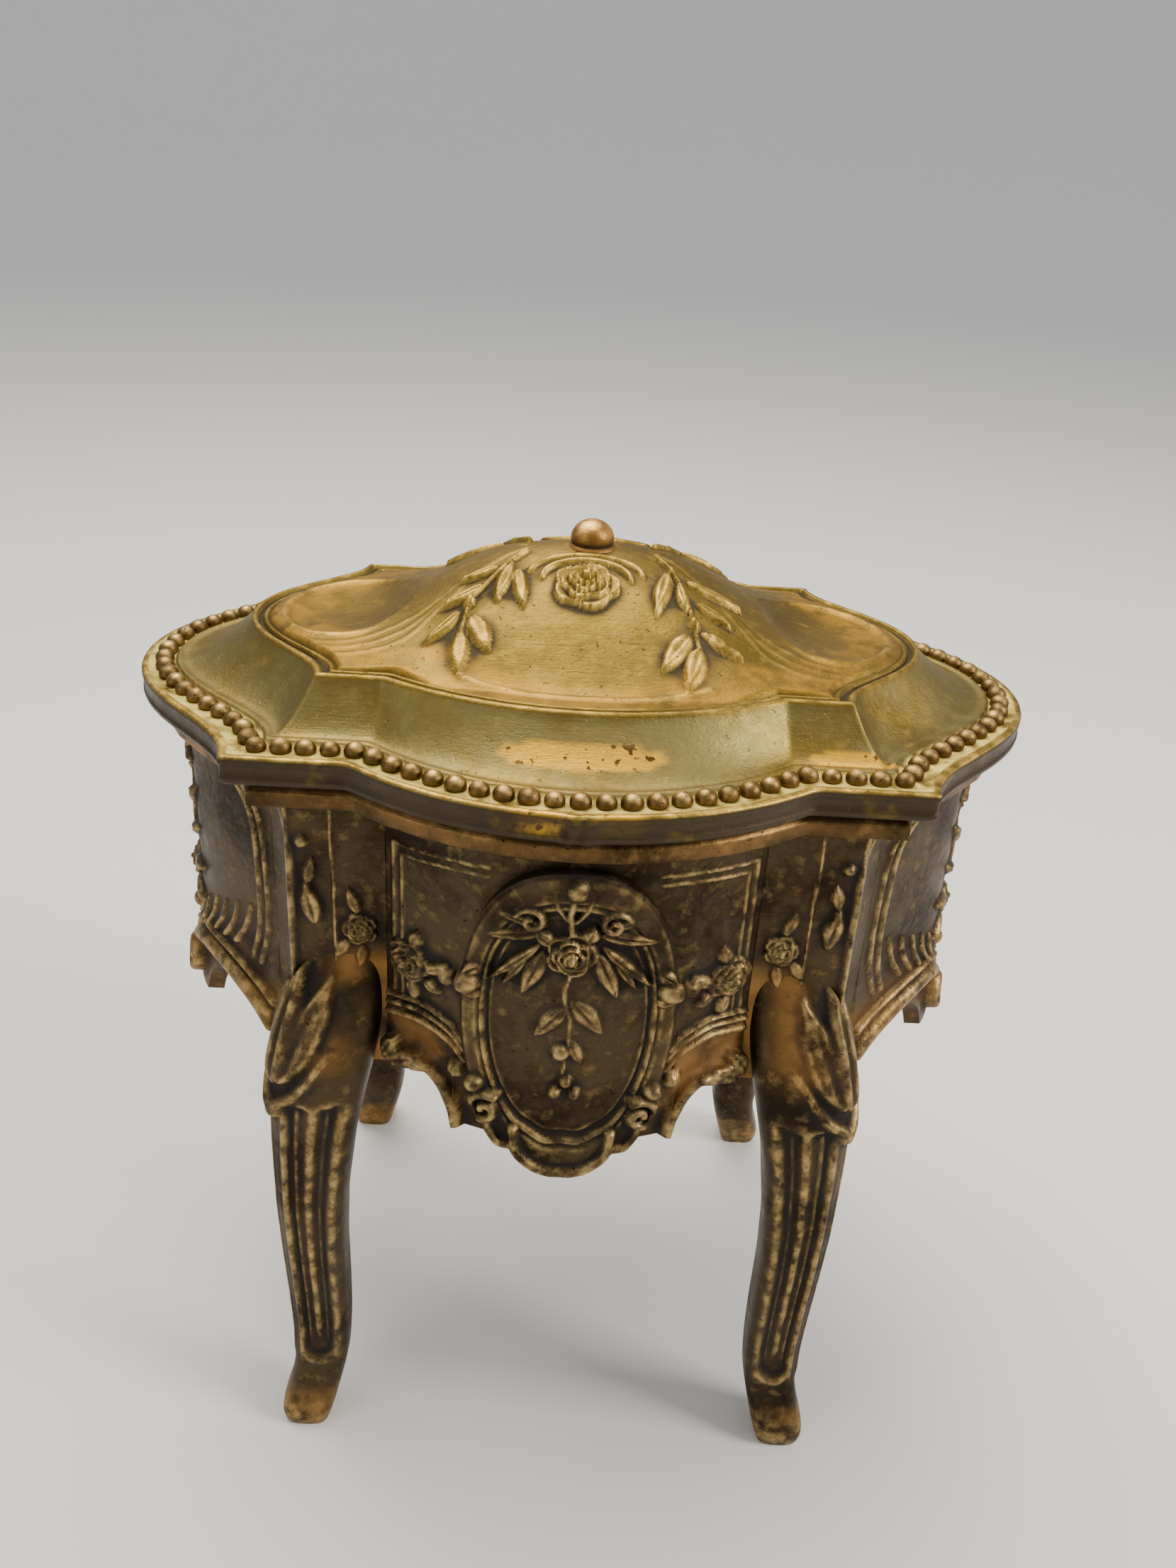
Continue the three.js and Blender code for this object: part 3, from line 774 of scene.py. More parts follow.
def front_ornament(r):
    """Incised side panels, garlands and the scrolled lower edge of the front."""
    for k in (0, 1.1):
        r.both("ridge", [(9.3, 91.9 - k), (15, 91.5 - k), (20.5 - k, 90.9 - k), (20.5 - k, 70.5)], 0.42, 0.3)
    for k, w in ((0, 1.0), (1.35, 0.8), (2.4, 0.6)):
        arc = spline([(11.6, 65.6 + k), (13.6, 67.6 + k), (17.2, 68.6 + k), (22, 67.2 + k)])
        r.both("ridge", arc, w, 0.75)
    r.both("rose", (18.4, 76.2), 2.7, 2.2)
    for root, tip in (
        ((18, 78.2), (17.2, 81)), ((16.4, 75.8), (13.6, 77.9)),
        ((16.6, 74.6), (14.4, 73.6)), ((18.4, 73.8), (17.4, 71.4)),
    ):
        r.both("leaf", root, tip, 1.8, 1.1)
    r.both("bead", (13.6, 76.4), 1.15, 1.5)
    edge = [(12.5, 56.4), (12.7, 58.4), (13.9, 61.2), (15.8, 62.9), (18.0, 63.1), (20.2, 62.2), (22, 60.8)]
    r.both("ridge", spline(edge), 1.7, 1.4)
    for a, b, w in (
        ((20.8, 61.0), (16.6, 64.2), 2.6), ((21.4, 61.4), (19.4, 65.4), 2.2), ((18.8, 62.4), (15.0, 63.4), 1.8),
    ):
        r.both("leaf", a, b, w, 0.8, 1.1)
    r.both("ridge", volute((13.6, 58.0), 1.6, 1.2, 100, -1), 0.9, 1.3)
    r.both("bead", (12.4, 64.2), 1.2, 1.5)


def end_ornament(r):
    """Branch, rose knot, fanned strokes and broad C-scrolls of an end."""
    for k in (17.4, 18.5):
        border = [(k - 1.2, 66.5), (k - 0.2, 72), (k, 80), (k - 0.6, 88), (k - 3.4, 92.6)]
        r.both("ridge", spline(border), 0.6, 0.45)
    r.rose((0, 71.2), 3.2, 2.2)
    stem = spline([(0, 74), (-2.6, 79), (-1.4, 85), (2.6, 90)])
    r.both("ridge", stem, 0.7, 0.8, taper=0.4)
    for root, tip, w in (
        ((-1.8, 77), (-6.6, 79.4), 2.0), ((-2.4, 79.5), (1.6, 82.6), 1.8), ((-2.4, 81.5), (-6.6, 85.4), 2.2),
        ((-1.6, 84.4), (2.4, 86.6), 1.7), ((-0.6, 86.4), (-3.8, 90.6), 2.0), ((1.6, 89), (5.6, 88.6), 1.7),
        ((-2.8, 73), (-8.2, 74.2), 2.0), ((-2.8, 70.4), (-7.4, 68.6), 2.0),
    ):
        r.both("leaf", root, tip, w, 1.1)
    for k in range(6):
        a = (5.2 + 1.75 * k, 66.0 + 0.3 * k)
        b = (6.8 + 1.85 * k, 69.6 + 0.9 * k)
        r.both("ridge", spline([a, ((a[0] + b[0]) / 2 + 0.35, (a[1] + b[1]) / 2), b]), 0.75, 0.7, taper=0.4)
    band = spline([(19.6, 58.6), (16.6, 61.2), (12.6, 63.4), (8.6, 63.8), (5.2, 62.4), (3.6, 60.2)])
    r.both("ridge", band, 2.5, 1.4)
    upper = spline([(19.6, 61.8), (16.4, 64.0), (12.4, 65.7), (8.2, 65.9), (4.6, 64.8)])
    r.both("ridge", upper, 0.9, 0.9)
    r.both("ridge", volute((4.4, 59.0), 2.8, 1.5, 80, -1), 1.3, 1.9)
    for k in (-1, 0, 1):
        r.leaf((k * 0.9, 63.4), (k * 1.5, 57.4), 2.0, 1.4)
    r.bead((0, 64.6), 1.5, 1.8)


def back_ornament(r):
    """The front's ornament, with a flat oval ring and a spray where the front has its cartouche."""
    front_ornament(r)
    for size, w in ((1, 1.2), (0.84, 0.7)):
        a = np.linspace(0, 2 * np.pi, 60)
        ring = np.stack([10.2 * size * np.cos(a), 71.9 + 13.4 * size * np.sin(a)], 1)
        r.ridge(ring, w, 0.9)
    spray(r, 0.0, 77.6)


def long_apron(distance):
    return apron(distance, 12.7, 17.4, 56.4, 62.0, 0.1, 0.12)


def end_apron(distance):
    return apron(distance, 8, 14, 55, 61.5, 0.5, 0.07)


def long_inner(s):
    return np.maximum(bow(CAVITY, s), CAVITY["cy"])


def long_worn(s, z, h):
    return 0.6 * (smooth((np.abs(s) - 11) / 3) * smooth((70 - z) / 4)) * (h < 1.2)


def end_worn(s, z, h):
    return 0.35 * smooth((70 - z) / 8)


def cast_wall(name, turn, half, edge, carve, outer, inner, worn, bold):
    """One wall: its ornament, wear and warm places, set on its side of the box."""
    mesh, i, j, front, s, z = wall_grid(210, 185, half, edge)
    r = Relief(s, z)
    carve(r)
    r.h *= bold * smooth((half - np.abs(s)) / 0.25)
    r.soften()
    lay_wall(mesh, i, j, front, s, z, outer(s), inner(s), r.h, turn)
    mark_hollows_and_crests(mesh, i, j, r.h, 5, front)
    mark(mesh, "bare", worn(s, z, r.h)[i, j])
    piece(mesh, name + "_cast", "base", finish("Body brass"), (name,))


class TRINKET_OT_walls(bpy.types.Operator):
    """Cast front, back and end walls with their ornament"""

    bl_idname = "trinket.walls"
    bl_label = "Walls"

    def execute(self, context):
        bold = context.scene.trinket_sizes.relief
        for name, turn, carve in (("front_wall", 0.0, front_ornament), ("back_wall", math.pi, back_ornament)):
            outer = lambda s: bow(WALL, s)
            cast_wall(name, turn, WALL["nx"], long_apron, carve, outer, long_inner, long_worn, bold)
        for name, turn in (("right_wall", math.pi / 2), ("left_wall", -math.pi / 2)):
            outer, inner = (lambda s: end(WALL, s)), (lambda s: end(CAVITY, s))
            cast_wall(name, turn, POST_END - GAP, end_apron, end_ornament, outer, inner, end_worn, bold)
        return {"FINISHED"}


def spray(r, x, z):
    """Rose bud with leaves either side, a pendant stem and three berries, about (x, z)."""
    r.rose((x, z + 1.6), 2.9, 2.6)
    r.leaf((x - 2.0, z + 2.6), (x - 3.9, z + 4.4), 2.0, 1.3)
    r.leaf((x + 1.6, z + 3.2), (x + 2.4, z + 5.4), 2.2, 1.5)
    for root, tip, w in (
        ((2.8, 4.2), (9.2, 3.2), 2.2), ((2.6, 4.8), (8.0, 6.4), 1.6), ((3.2, 2.6), (9.0, -3.0), 1.5),
        ((2.8, 1.8), (5.2, -4.2), 2.4), ((4.4, 1.2), (7.4, -3.4), 1.3),
    ):
        for k in (-1, 1):
            r.leaf((x + k * root[0], z + root[1]), (x + k * tip[0], z + tip[1]), w, 1.2)
    stem = spline([(x, z - 1), (x - 0.5, z - 4), (x + 0.3, z - 8), (x - 0.2, z - 14.6)])
    r.ridge(stem, 0.6, 0.9, taper=0.3)
    for root, tip, w in (
        ((0.2, -4.4), (4.0, -9.0), 2.7), ((-0.2, -5.4), (-3.7, -9.6), 2.7), ((0.2, -9.6), (1.9, -13.4), 1.7),
    ):
        r.leaf((x + root[0], z + root[1]), (x + tip[0], z + tip[1]), w, 1.2)
    r.bead((x - 0.6, z - 11.6), 1.25, 1.3)
    for dx, dz in ((0.2, -15.6), (1.1, -17.2), (-1.0, -17.2)):
        r.bead((x + dx, z + dz), 0.85, 1.3)


class TRINKET_OT_cartouche(bpy.types.Operator):
    """Oval cartouche of the front with its rose and pendant"""

    bl_idname = "trinket.cartouche"
    bl_label = "Cartouche"

    def execute(self, context):
        mesh, n, i, j, front = slab(150, 240)
        u = along_columns(np.linspace(-1, 1, n[0]), n)
        v = along_rows(np.linspace(-1, 1, n[1]), n)
        across, up = u * np.sqrt(1 - v**2 / 2), v * np.sqrt(1 - u**2 / 2)
        out = np.hypot(across, up)
        angle = np.arctan2(up, across)
        full = squared(angle, 2.4)
        lip = 1 + 0.01 * np.cos(14 * angle) * smooth((-np.sin(angle) - 0.72) / 0.2)
        across, up = across * full * lip, up * full * lip
        x = CARTOUCHE["x"] * across * (1 - 0.13 * np.clip(-up, 0, 1) ** 1.4)
        z = CARTOUCHE["middle"] + CARTOUCHE["up"] * up
        r = Relief(x, z)
        r.h = 0.5 + 0.95 * smooth((out - 0.755) / 0.05) - 0.5 * smooth((out - 0.93) / 0.07) ** 2
        r.h += 0.3 * hump(out - 0.775, 0.014) - 0.35 * hump(out - 0.815, 0.012)
        r.h += 0.2 * hump(out - 0.725, 0.016) + 0.5 * (1 - smooth(out / 0.72))
        ground = r.h.copy()
        motif = Relief(x, z)
        spray(motif, 0.0, 81.6)
        motif.ridge([(0, 85.8), (-0.3, 88.4), (0.2, 91.2)], 1.0, 1.0)
        for k in (-1, 1):
            motif.ridge(spline([(0, 90.6), (k * 1.8, 91.4), (k * 1.6, 89.2), (k * 0.4, 87.4)]), 0.7, 0.9)
        motif.bead((0.3, 91.6), 1.4, 1.7, 0.2)
        motif.both("ridge", volute((4.3, 87.2), 1.7, 1.2, 20, 1), 0.9, 1.3)
        motif.both("ridge", spline([(5.6, 88.2), (7.8, 86.6), (9.4, 83.6)]), 0.6, 0.7, taper=0.4)
        for root, tip in (((9.4, 80.6), (11.4, 79.0)), ((9.4, 76.4), (11.6, 77.2))):
            motif.both("leaf", root, tip, 1.8, 1.0, 0.7)
        motif.both("bead", (10.9, 78.1), 1.5, 1.5, 0.9)
        motif.both("ridge", volute((8.5, 61.4), 2.1, 1.3, 120, -1), 1.15, 1.1, base=0.9)
        motif.both("bead", (9.8, 64.4), 1.1, 1.3, 0.8)
        shell = [(-5.4, 59.0), (-4.9, 56.2), (-2.6, 54.3), (0, 53.9), (2.6, 54.3), (4.9, 56.2), (5.4, 59.0)]
        motif.ridge(spline(shell), 1.2, 0.8, base=0.9)
        motif.both("ridge", spline([(5.6, 57.0), (7.0, 57.2), (8.2, 58.8), (8.2, 60.4)]), 1.0, 0.8, base=0.9)
        r.h = np.maximum(ground, motif.h + np.where(motif.h > 0, np.minimum(ground, 0.6), 0))
        r.h *= context.scene.trinket_sizes.relief
        r.soften()
        y = -bow(WALL, x) - flare(z) - GAP - 0.15
        back = -bow(WALL, x) - flare(z) + 0.4
        lean = np.gradient(bow(WALL, np.linspace(-12, 12, 49)), 0.5)
        tilt = np.interp(x, np.linspace(-12, 12, 49), lean)
        x, y = on_faces(front, i, j, x - tilt * r.h, x), on_faces(front, i, j, y - r.h, back)
        drape(mesh, np.stack([x, y, z[i, j]], 1))
        mark_hollows_and_crests(mesh, i, j, r.h, 5, front)
        piece(mesh, "front_cartouche_cast", "base", finish("Body brass"), ("front_cartouche",))
        return {"FINISHED"}


# Leg sections: height, centre's distance in from the foot's centre, half size.
SECTIONS = np.array([
    (0, -0.2, -0.2, 2.9), (1.2, -0.3, -0.3, 3.45), (3, 0.0, 0.0, 3.6), (5.5, 0.8, 0.8, 3.45), (10, 1.75, 1.8, 3.55),
    (16, 1.9, 2.3, 3.65), (22, 1.75, 2.4, 3.8), (30, 1.4, 2.6, 4.0), (38, 1.3, 2.9, 4.35), (48, 1.8, 3.7, 5.05),
    (54, 2.4, 4.6, 5.7), (60, 3.2, 5.6, 6.25), (66, 4.5, 6.8, 6.0), (72, 5.8, 8.1, 5.1), (78, 6.6, 9.3, 3.9),
    (LEG_TOP, 7.0, 10.0, 2.6),
])
FOOT = (32.7, 30.0)


def leg_surface():
    """The front right cabriole leg as a tube, with flutes and the tulip leaf on its knee."""
    mesh, n, i, j, _ = sheet_grid(148, 330)
    share = np.linspace(0, 2 * np.pi, n[0])
    knee_at = 1.75 * np.pi
    turn = along_columns(share - 0.62 * np.sin(share - knee_at) + 0.62 * math.sin(-knee_at), n)
    z = along_rows(np.linspace(0, LEG_TOP, n[1]), n)
    cx, cy, half = (smooth_track(z[0], SECTIONS[:, 0], SECTIONS[:, k]) for k in (1, 2, 3))
    square = squared(turn, 3.6)
    reach = half[None, :] * square
    h = np.zeros_like(z)
    for middle in (0.0, 1.5 * np.pi):
        off = wrapped(turn - middle)
        b = half[None, :] * np.tan(np.clip(off, -1.2, 1.2))
        w = half[None, :] * 0.62
        top = 54.5 + 0.35 * np.abs(b)
        round_end = domed(b / w) * w
        inside = smooth((w - np.abs(b)) / 0.3) * smooth((z - (13.6 - round_end)) / 0.7) * smooth((top - z) / 0.8)
        reed = 0.7 * hump(b, 0.17 * half[None, :]) * smooth((z - 14) / 3)
        reed = reed + 0.3 * hump(np.abs(b) - 0.62 * w, 0.28) * smooth((z - 13) / 4)
        h += inside * (-0.7 + reed)
        edge = hump(np.abs(b) - w * 1.1, 0.32) * smooth((z - 10) / 3) * smooth((top - z) / 2)
        heel = 0.9 * hump(z - 13.2 + round_end, 0.45) * smooth((w * 1.1 - np.abs(b)) / 0.4)
        edge = np.maximum(edge, heel)
        h += 0.26 * edge
    off = wrapped(turn - knee_at)
    b = off * half[None, :] * 1.12
    knee = Relief(b, z)
    for k in (-1, 1):
        knee.leaf((k * 1.3, 58.2), (k * 3.4, 72.4), 4.2, 1.3)
        knee.ridge(spline([(k * 1.0, 58.6), (k * 3.6, 61.6), (k * 4.5, 66.5), (k * 3.6, 71.8)]), 0.7, 1.1, taper=0.3)
        knee.ridge(spline([(0, 54.6), (k * 3.2, 57.4), (k * 6.4, 62.6)]), 1.8, 1.3, taper=0.5)
    knee.leaf((0, 57.6), (0, 73.6), 4.3, 1.9)
    knee.bead((0, 54.2), 1.2, 1.2)
    h = h + knee.h
    h = box_blur(h, 1, True)
    reach = reach + h * smooth(z / 2)
    x = FOOT[0] - cx[None, :] + reach * np.cos(turn)
    y = -(FOOT[1] - cy[None, :]) + reach * np.sin(turn)
    x, y = kept_outside(x, y, z)
    drape(mesh, np.stack([x[i, j], y[i, j], z[i, j]], 1))
    mark_hollows_and_crests(mesh, i, j, h, 4, wrap=True)
    toe = np.clip(1 - z / 7, 0, 1)
    facing = hump(turn - 1.46 * np.pi, 0.35)
    mark(mesh, "bare", (0.75 * facing * smooth((z - 58) / 6) + 0.6 * smooth((8 - z) / 6))[i, j])
    layer = mesh.attributes["proud"].data
    proud = np.empty(len(layer))
    layer.foreach_get("value", proud)
    layer.foreach_set("value", np.clip(proud + 1.3 * toe[i, j], 0, 1).astype(np.float32))
    edit(mesh, weld, cap)
    return mesh


def smooth_track(z, heights, values):
    """Values along the heights, eased so that no kink shows."""
    fine = np.linspace(heights[0], heights[-1], 400)
    v = np.interp(fine, heights, values)
    for _ in range(60):
        v[1:-1] = (v[:-2] + 2 * v[1:-1] + v[2:]) / 4
    return np.interp(z, fine, v)


def kept_outside(x, y, z):
    """Draws the part of a leg that rises past the floor back into the thickness of the wall."""
    px, py = WALL["cx"] - 0.75, -WALL["cy"] + 0.85
    angle, reach = np.arctan2(y - py, x - px), np.hypot(x - px, y - py)
    inward = np.minimum(np.sin(np.pi - angle), np.sin(angle - math.radians(63)))
    inside = (angle > math.radians(63)) & (inward > 0)
    most = 0.5 / np.maximum(inward, 0.02)
    r = np.where(inside, np.minimum(reach, most) + 0.05 * np.maximum(reach - most, 0), reach)
    share = smooth((z - 62.8) / 1.4)
    r = reach + (r - reach) * share
    return px + r * np.cos(angle), py + r * np.sin(angle)


def post_surface():
    """Corner post above the front right leg, wrapping from the front to the end wall."""
    mesh, n, i, j, front = slab(96, 170)
    start = WALL["nx"] + 0.02
    ends = np.linspace(0, 1, 60)
    ex, ey = end_curve(WALL, ends)
    keep = ey <= -POST_END
    path = np.vstack([[(start, -WALL["cy"])], np.stack([ex[keep], ey[keep]], 1)])
    path = np.vstack([path, [(end(WALL, POST_END - 0.25), -POST_END + 0.25)]])
    run = run_along(path)
    s1 = np.linspace(0, run[-1], n[0])
    px, py = np.interp(s1, run, path[:, 0]), np.interp(s1, run, path[:, 1])
    tx, ty = np.gradient(px, s1), np.gradient(py, s1)
    for _ in range(5):
        tx, ty = (np.convolve(np.pad(a, 2, mode="edge"), np.ones(5) / 5, "valid") for a in (tx, ty))
    length = np.hypot(tx, ty)
    nx, ny = ty / length, -tx / length
    s = along_columns(s1, n)
    z = along_rows(np.linspace(POST_BOTTOM, WALL_TOP, n[1]), n)
    r = Relief(s, z)
    corner = WALL["cx"] - start
    r.rose((3.0, 78.2), 2.2, 1.6)
    for root, tip in (((3.2, 80.3), (4.4, 84.0)), ((2.6, 76.1), (3.2, 72.8)), ((4.4, 76.6), (6.2, 74.2))):
        r.leaf(root, tip, 1.7, 0.8)
    r.ridge([(corner - 4.6, 64), (corner - 4.9, 80), (corner - 4.6, 94)], 0.5, 0.4)
    r.leaf((corner - 2.6, 78.6), (corner - 1.6, 84.6), 2.6, 1.1)
    r.leaf((corner - 1.8, 84.2), (corner - 2.6, 87.6), 1.7, 1.0)
    r.bead((corner - 1.4, 89.6), 0.8, 0.9)
    for shoulder, w, height in (
        (((0.2, 62), (0.4, 76), (0.2, 86), (1.0, 90.4), (3.4, 93.4)), 1.3, 0.7),
        (((2.6, 62), (2.8, 76), (2.6, 84), (4.0, 89.6), (6.5, 92.4)), 0.6, 0.4),
    ):
        r.ridge(spline([(corner + along, up) for along, up in shoulder]), w, height)
    r.h *= smooth(s / 0.2) * smooth((run[-1] - s) / 0.2)
    r.soften()
    fx, fy = px[:, None] + nx[:, None] * r.h, py[:, None] + ny[:, None] * r.h
    bx = along_columns(np.minimum(px, CAVITY["cx"] + 4) - nx * POST_THICK, n)
    by = along_columns(py - ny * POST_THICK, n)
    x, y = on_faces(front, i, j, fx, bx), on_faces(front, i, j, fy, by)
    drape(mesh, np.stack([x, y, z[i, j]], 1))
    mark_hollows_and_crests(mesh, i, j, r.h, 4, front)
    mark(mesh, "bare", (0.7 * smooth((77 - z) / 5) * smooth((6 - s) / 2))[i, j])
    return mesh


class TRINKET_OT_legs(bpy.types.Operator):
    """Four cabriole legs with their corner posts"""

    bl_idname = "trinket.legs"
    bl_label = "Legs"

    def execute(self, context):
        leg, post = leg_surface(), post_surface()
        bm = bmesh.new()
        bm.from_mesh(leg)
        bm.from_mesh(post)
        joined = turned_into_mesh(bm, "leg")
        for side, x in (("left", -1), ("right", 1)):
            for face, y in (("front", 1), ("back", -1)):
                mesh = joined.copy()

                def turned(b, x=x, y=y):
                    bmesh.ops.scale(b, vec=(x, y, 1), verts=b.verts[:])
                    if x * y < 0:
                        bmesh.ops.reverse_faces(b, faces=b.faces[:])

                edit(mesh, turned)
                name = f"leg_{face}_{side}"
                piece(mesh, name + "_cast", "base", finish("Body brass"), (name,))
        return {"FINISHED"}


def lid_field(x, y):
    across = 1 / (1 + (np.abs(x) / DOME["x"]) ** 4)
    foot = np.maximum(0, 1 - (np.abs(y) / DOME["y"]) ** 1.8)
    dome = DOME["rise"] * across * foot**1.25
    dome = dome + 0.6 * np.exp(-(x**2 + y**2) / 50)
    bowl = np.maximum(0, 1 - ((np.abs(x) - DISH["at"]) / DISH["x"]) ** 2 - (y / DISH["y"]) ** 2)
    return FIELD + dome * (1 - DISH["ease"] * bowl) - DISH["depth"] * bowl


LEFT_SPRAY = (
    ((-9.4, -4.6), (-10.9, -10.4), 2.2), ((-8.6, -5.6), (-7.6, -11.4), 1.9), ((-13.6, -11.4), (-11.0, -16.6), 2.6),
    ((-14.6, -13.4), (-14.2, -19.4), 2.4), ((-14.8, -10.6), (-18.6, -14.6), 1.9), ((-12.2, -7.4), (-17.4, -9.4), 1.9),
    ((-10.8, -4.8), (-15.6, -5.6), 1.5),
)
RIGHT_SPRAY = (
    ((9.2, -4.6), (7.6, -11.6), 2.2), ((12.4, -8.4), (16.8, -10.2), 1.6), ((13.0, -12.2), (18.0, -14.6), 1.7),
    ((11.8, -12.8), (8.4, -17.8), 2.6), ((12.9, -14.2), (11.4, -19.9), 2.6), ((11.0, -5.6), (18.6, -6.0), 1.6),
    ((10.4, -6.4), (11.2, -10.2), 1.6),
)


def lid_ornament(r):
    """Rose and laurel on the dome's front and back, drapery folds round the oval dishes."""
    for face in (1, -1):
        turned = lambda points: np.asarray(points, float) * face
        r.rose(tuple(turned((-0.5, -8.3))), 4.1, 2.2, squash=0.74, turn=0.0 if face > 0 else math.pi)
        for k, (w, y) in enumerate(((5.2, -4.9), (6.6, -3.9))):
            a = np.linspace(0.02 * np.pi, 0.98 * np.pi, 30)
            fold = np.stack([-0.5 + w * np.cos(a), y - 2.2 + 2.7 * np.sin(a)], 1)
            r.ridge(turned(fold), 0.8, 0.6 - 0.15 * k)
        for stem in (
            [(-7.6, -2.2), (-9.8, -4.4), (-12.4, -7.6), (-13.9, -9.6), (-14.5, -13.4)],
            [(7.6, -2.2), (9.6, -4.4), (11.2, -8), (12.2, -11.6), (12.7, -14.2)],
        ):
            r.ridge(turned(spline(stem)), 0.55, 0.7, taper=0.3)
        for root, tip, w in LEFT_SPRAY + RIGHT_SPRAY:
            r.leaf(tuple(turned(root)), tuple(turned(tip)), w, 0.95)
        for c in ((-13.9, -9.6), (12.2, -11.6)):
            r.bead(tuple(turned(c)), 0.75, 1.15)
        for c in ((-9.6, -4.4), (9.6, -4.4)):
            r.bead(tuple(turned(c)), 0.5, 0.8)
        for k in range(3):
            sweep = [
                (8 + 1.6 * k, -0.6 - 0.8 * k), (15 + 1.2 * k, -4.6 - 1.8 * k), (21.6, -9.0 - 1.9 * k),
                (28.6, -11.3 - 1.5 * k), (35.6, -9.4 - 1.2 * k),
            ]
            r.both("ridge", turned(spline(sweep)), 0.9, 0.09, taper=0.2)
        foot = np.linspace(-14.2, 14.2, 50)
        r.ridge(turned(np.stack([foot, 4.9 - bow(PANEL, foot)], 1)), 0.95, 0.24)
    off = (np.hypot((np.abs(r.s) - DISH["at"]) / 8.3, r.z / 9.7) - 1) * 9
    rim = 0.42 * domed(off / 0.6) * smooth((np.abs(r.s) - 22) / 9)
    r.h = np.maximum(r.h, rim)


def lid_rows():
    """Plan, height or None for the field, and zone of every row from under the middle to the top."""
    rows = []
    for s in (0, 0.14, 0.28, 0.4, 0.52, 0.64, 0.76, 0.88):
        rows.append((scaled(PANEL, s), "under", "inside"))
    rows.append((mix(PANEL, FLANGE_IN, 0.5), FIELD - 2 * LID_SHELL, "inside"))
    flange = LID_BOTTOM - 1.4
    for o, z in ((FLANGE_IN, LID_BOTTOM), (FLANGE_IN, flange), (FLANGE_OUT, flange), (FLANGE_OUT, LID_BOTTOM)):
        rows.append((o, z, "inside"))
    rim = [
        (0.95, 0), (0.4, 0.08), (0.1, 0.4), (0, 0.8), (0.02, 1.0), (0.14, 1.12),
        (0.14, 2.5), (0.02, 2.62), (0, 3.1), (0.12, 3.4), (0.4, 3.56), (0.7, 3.5),
    ]
    rows += [(inset(LID, d), LID_BOTTOM + z, "side") for d, z in rim]
    seat = [(0.95, -0.02), (1.25, -0.16), (1.9, -0.2), (2.75, -0.16), (3.6, -0.14), (3.95, 0.0)]
    rows += [(inset(LID, d), RIM_TOP + z, "crust") for d, z in seat]
    lip = [(4.15, 0.3), (4.4, 0.5), (4.7, 0.48), (4.95, 0.3)]
    rows += [(inset(LID, d), RIM_TOP + z, "cove") for d, z in lip]
    foot = inset(LID, 5.1)
    for t in np.linspace(0, 1, 13)[1:]:
        z = RIM_TOP + 0.28 + (FIELD - RIM_TOP - 0.48) * t**1.5
        rows.append((mix(foot, PANEL, t), z, "cove"))
    edge = [
        (0.12, 0.12), (0.35, 0.4), (0.65, 0.46), (0.88, 0.3), (1.0, -0.2),
        (1.5, -0.26), (1.65, 0.14), (1.85, 0.3), (2.1, 0.16), (2.3, 0),
    ]
    rows += [(inset(PANEL, d), FIELD + z, "edge") for d, z in edge]
    for outer, inner, count in ((1, 0.86, 12), (0.86, 0.12, 84), (0.12, 0, 6)):
        rows += [(scaled(inset(PANEL, 2.3), k), "field", k) for k in np.linspace(outer, inner, count)[1:]]
    return rows


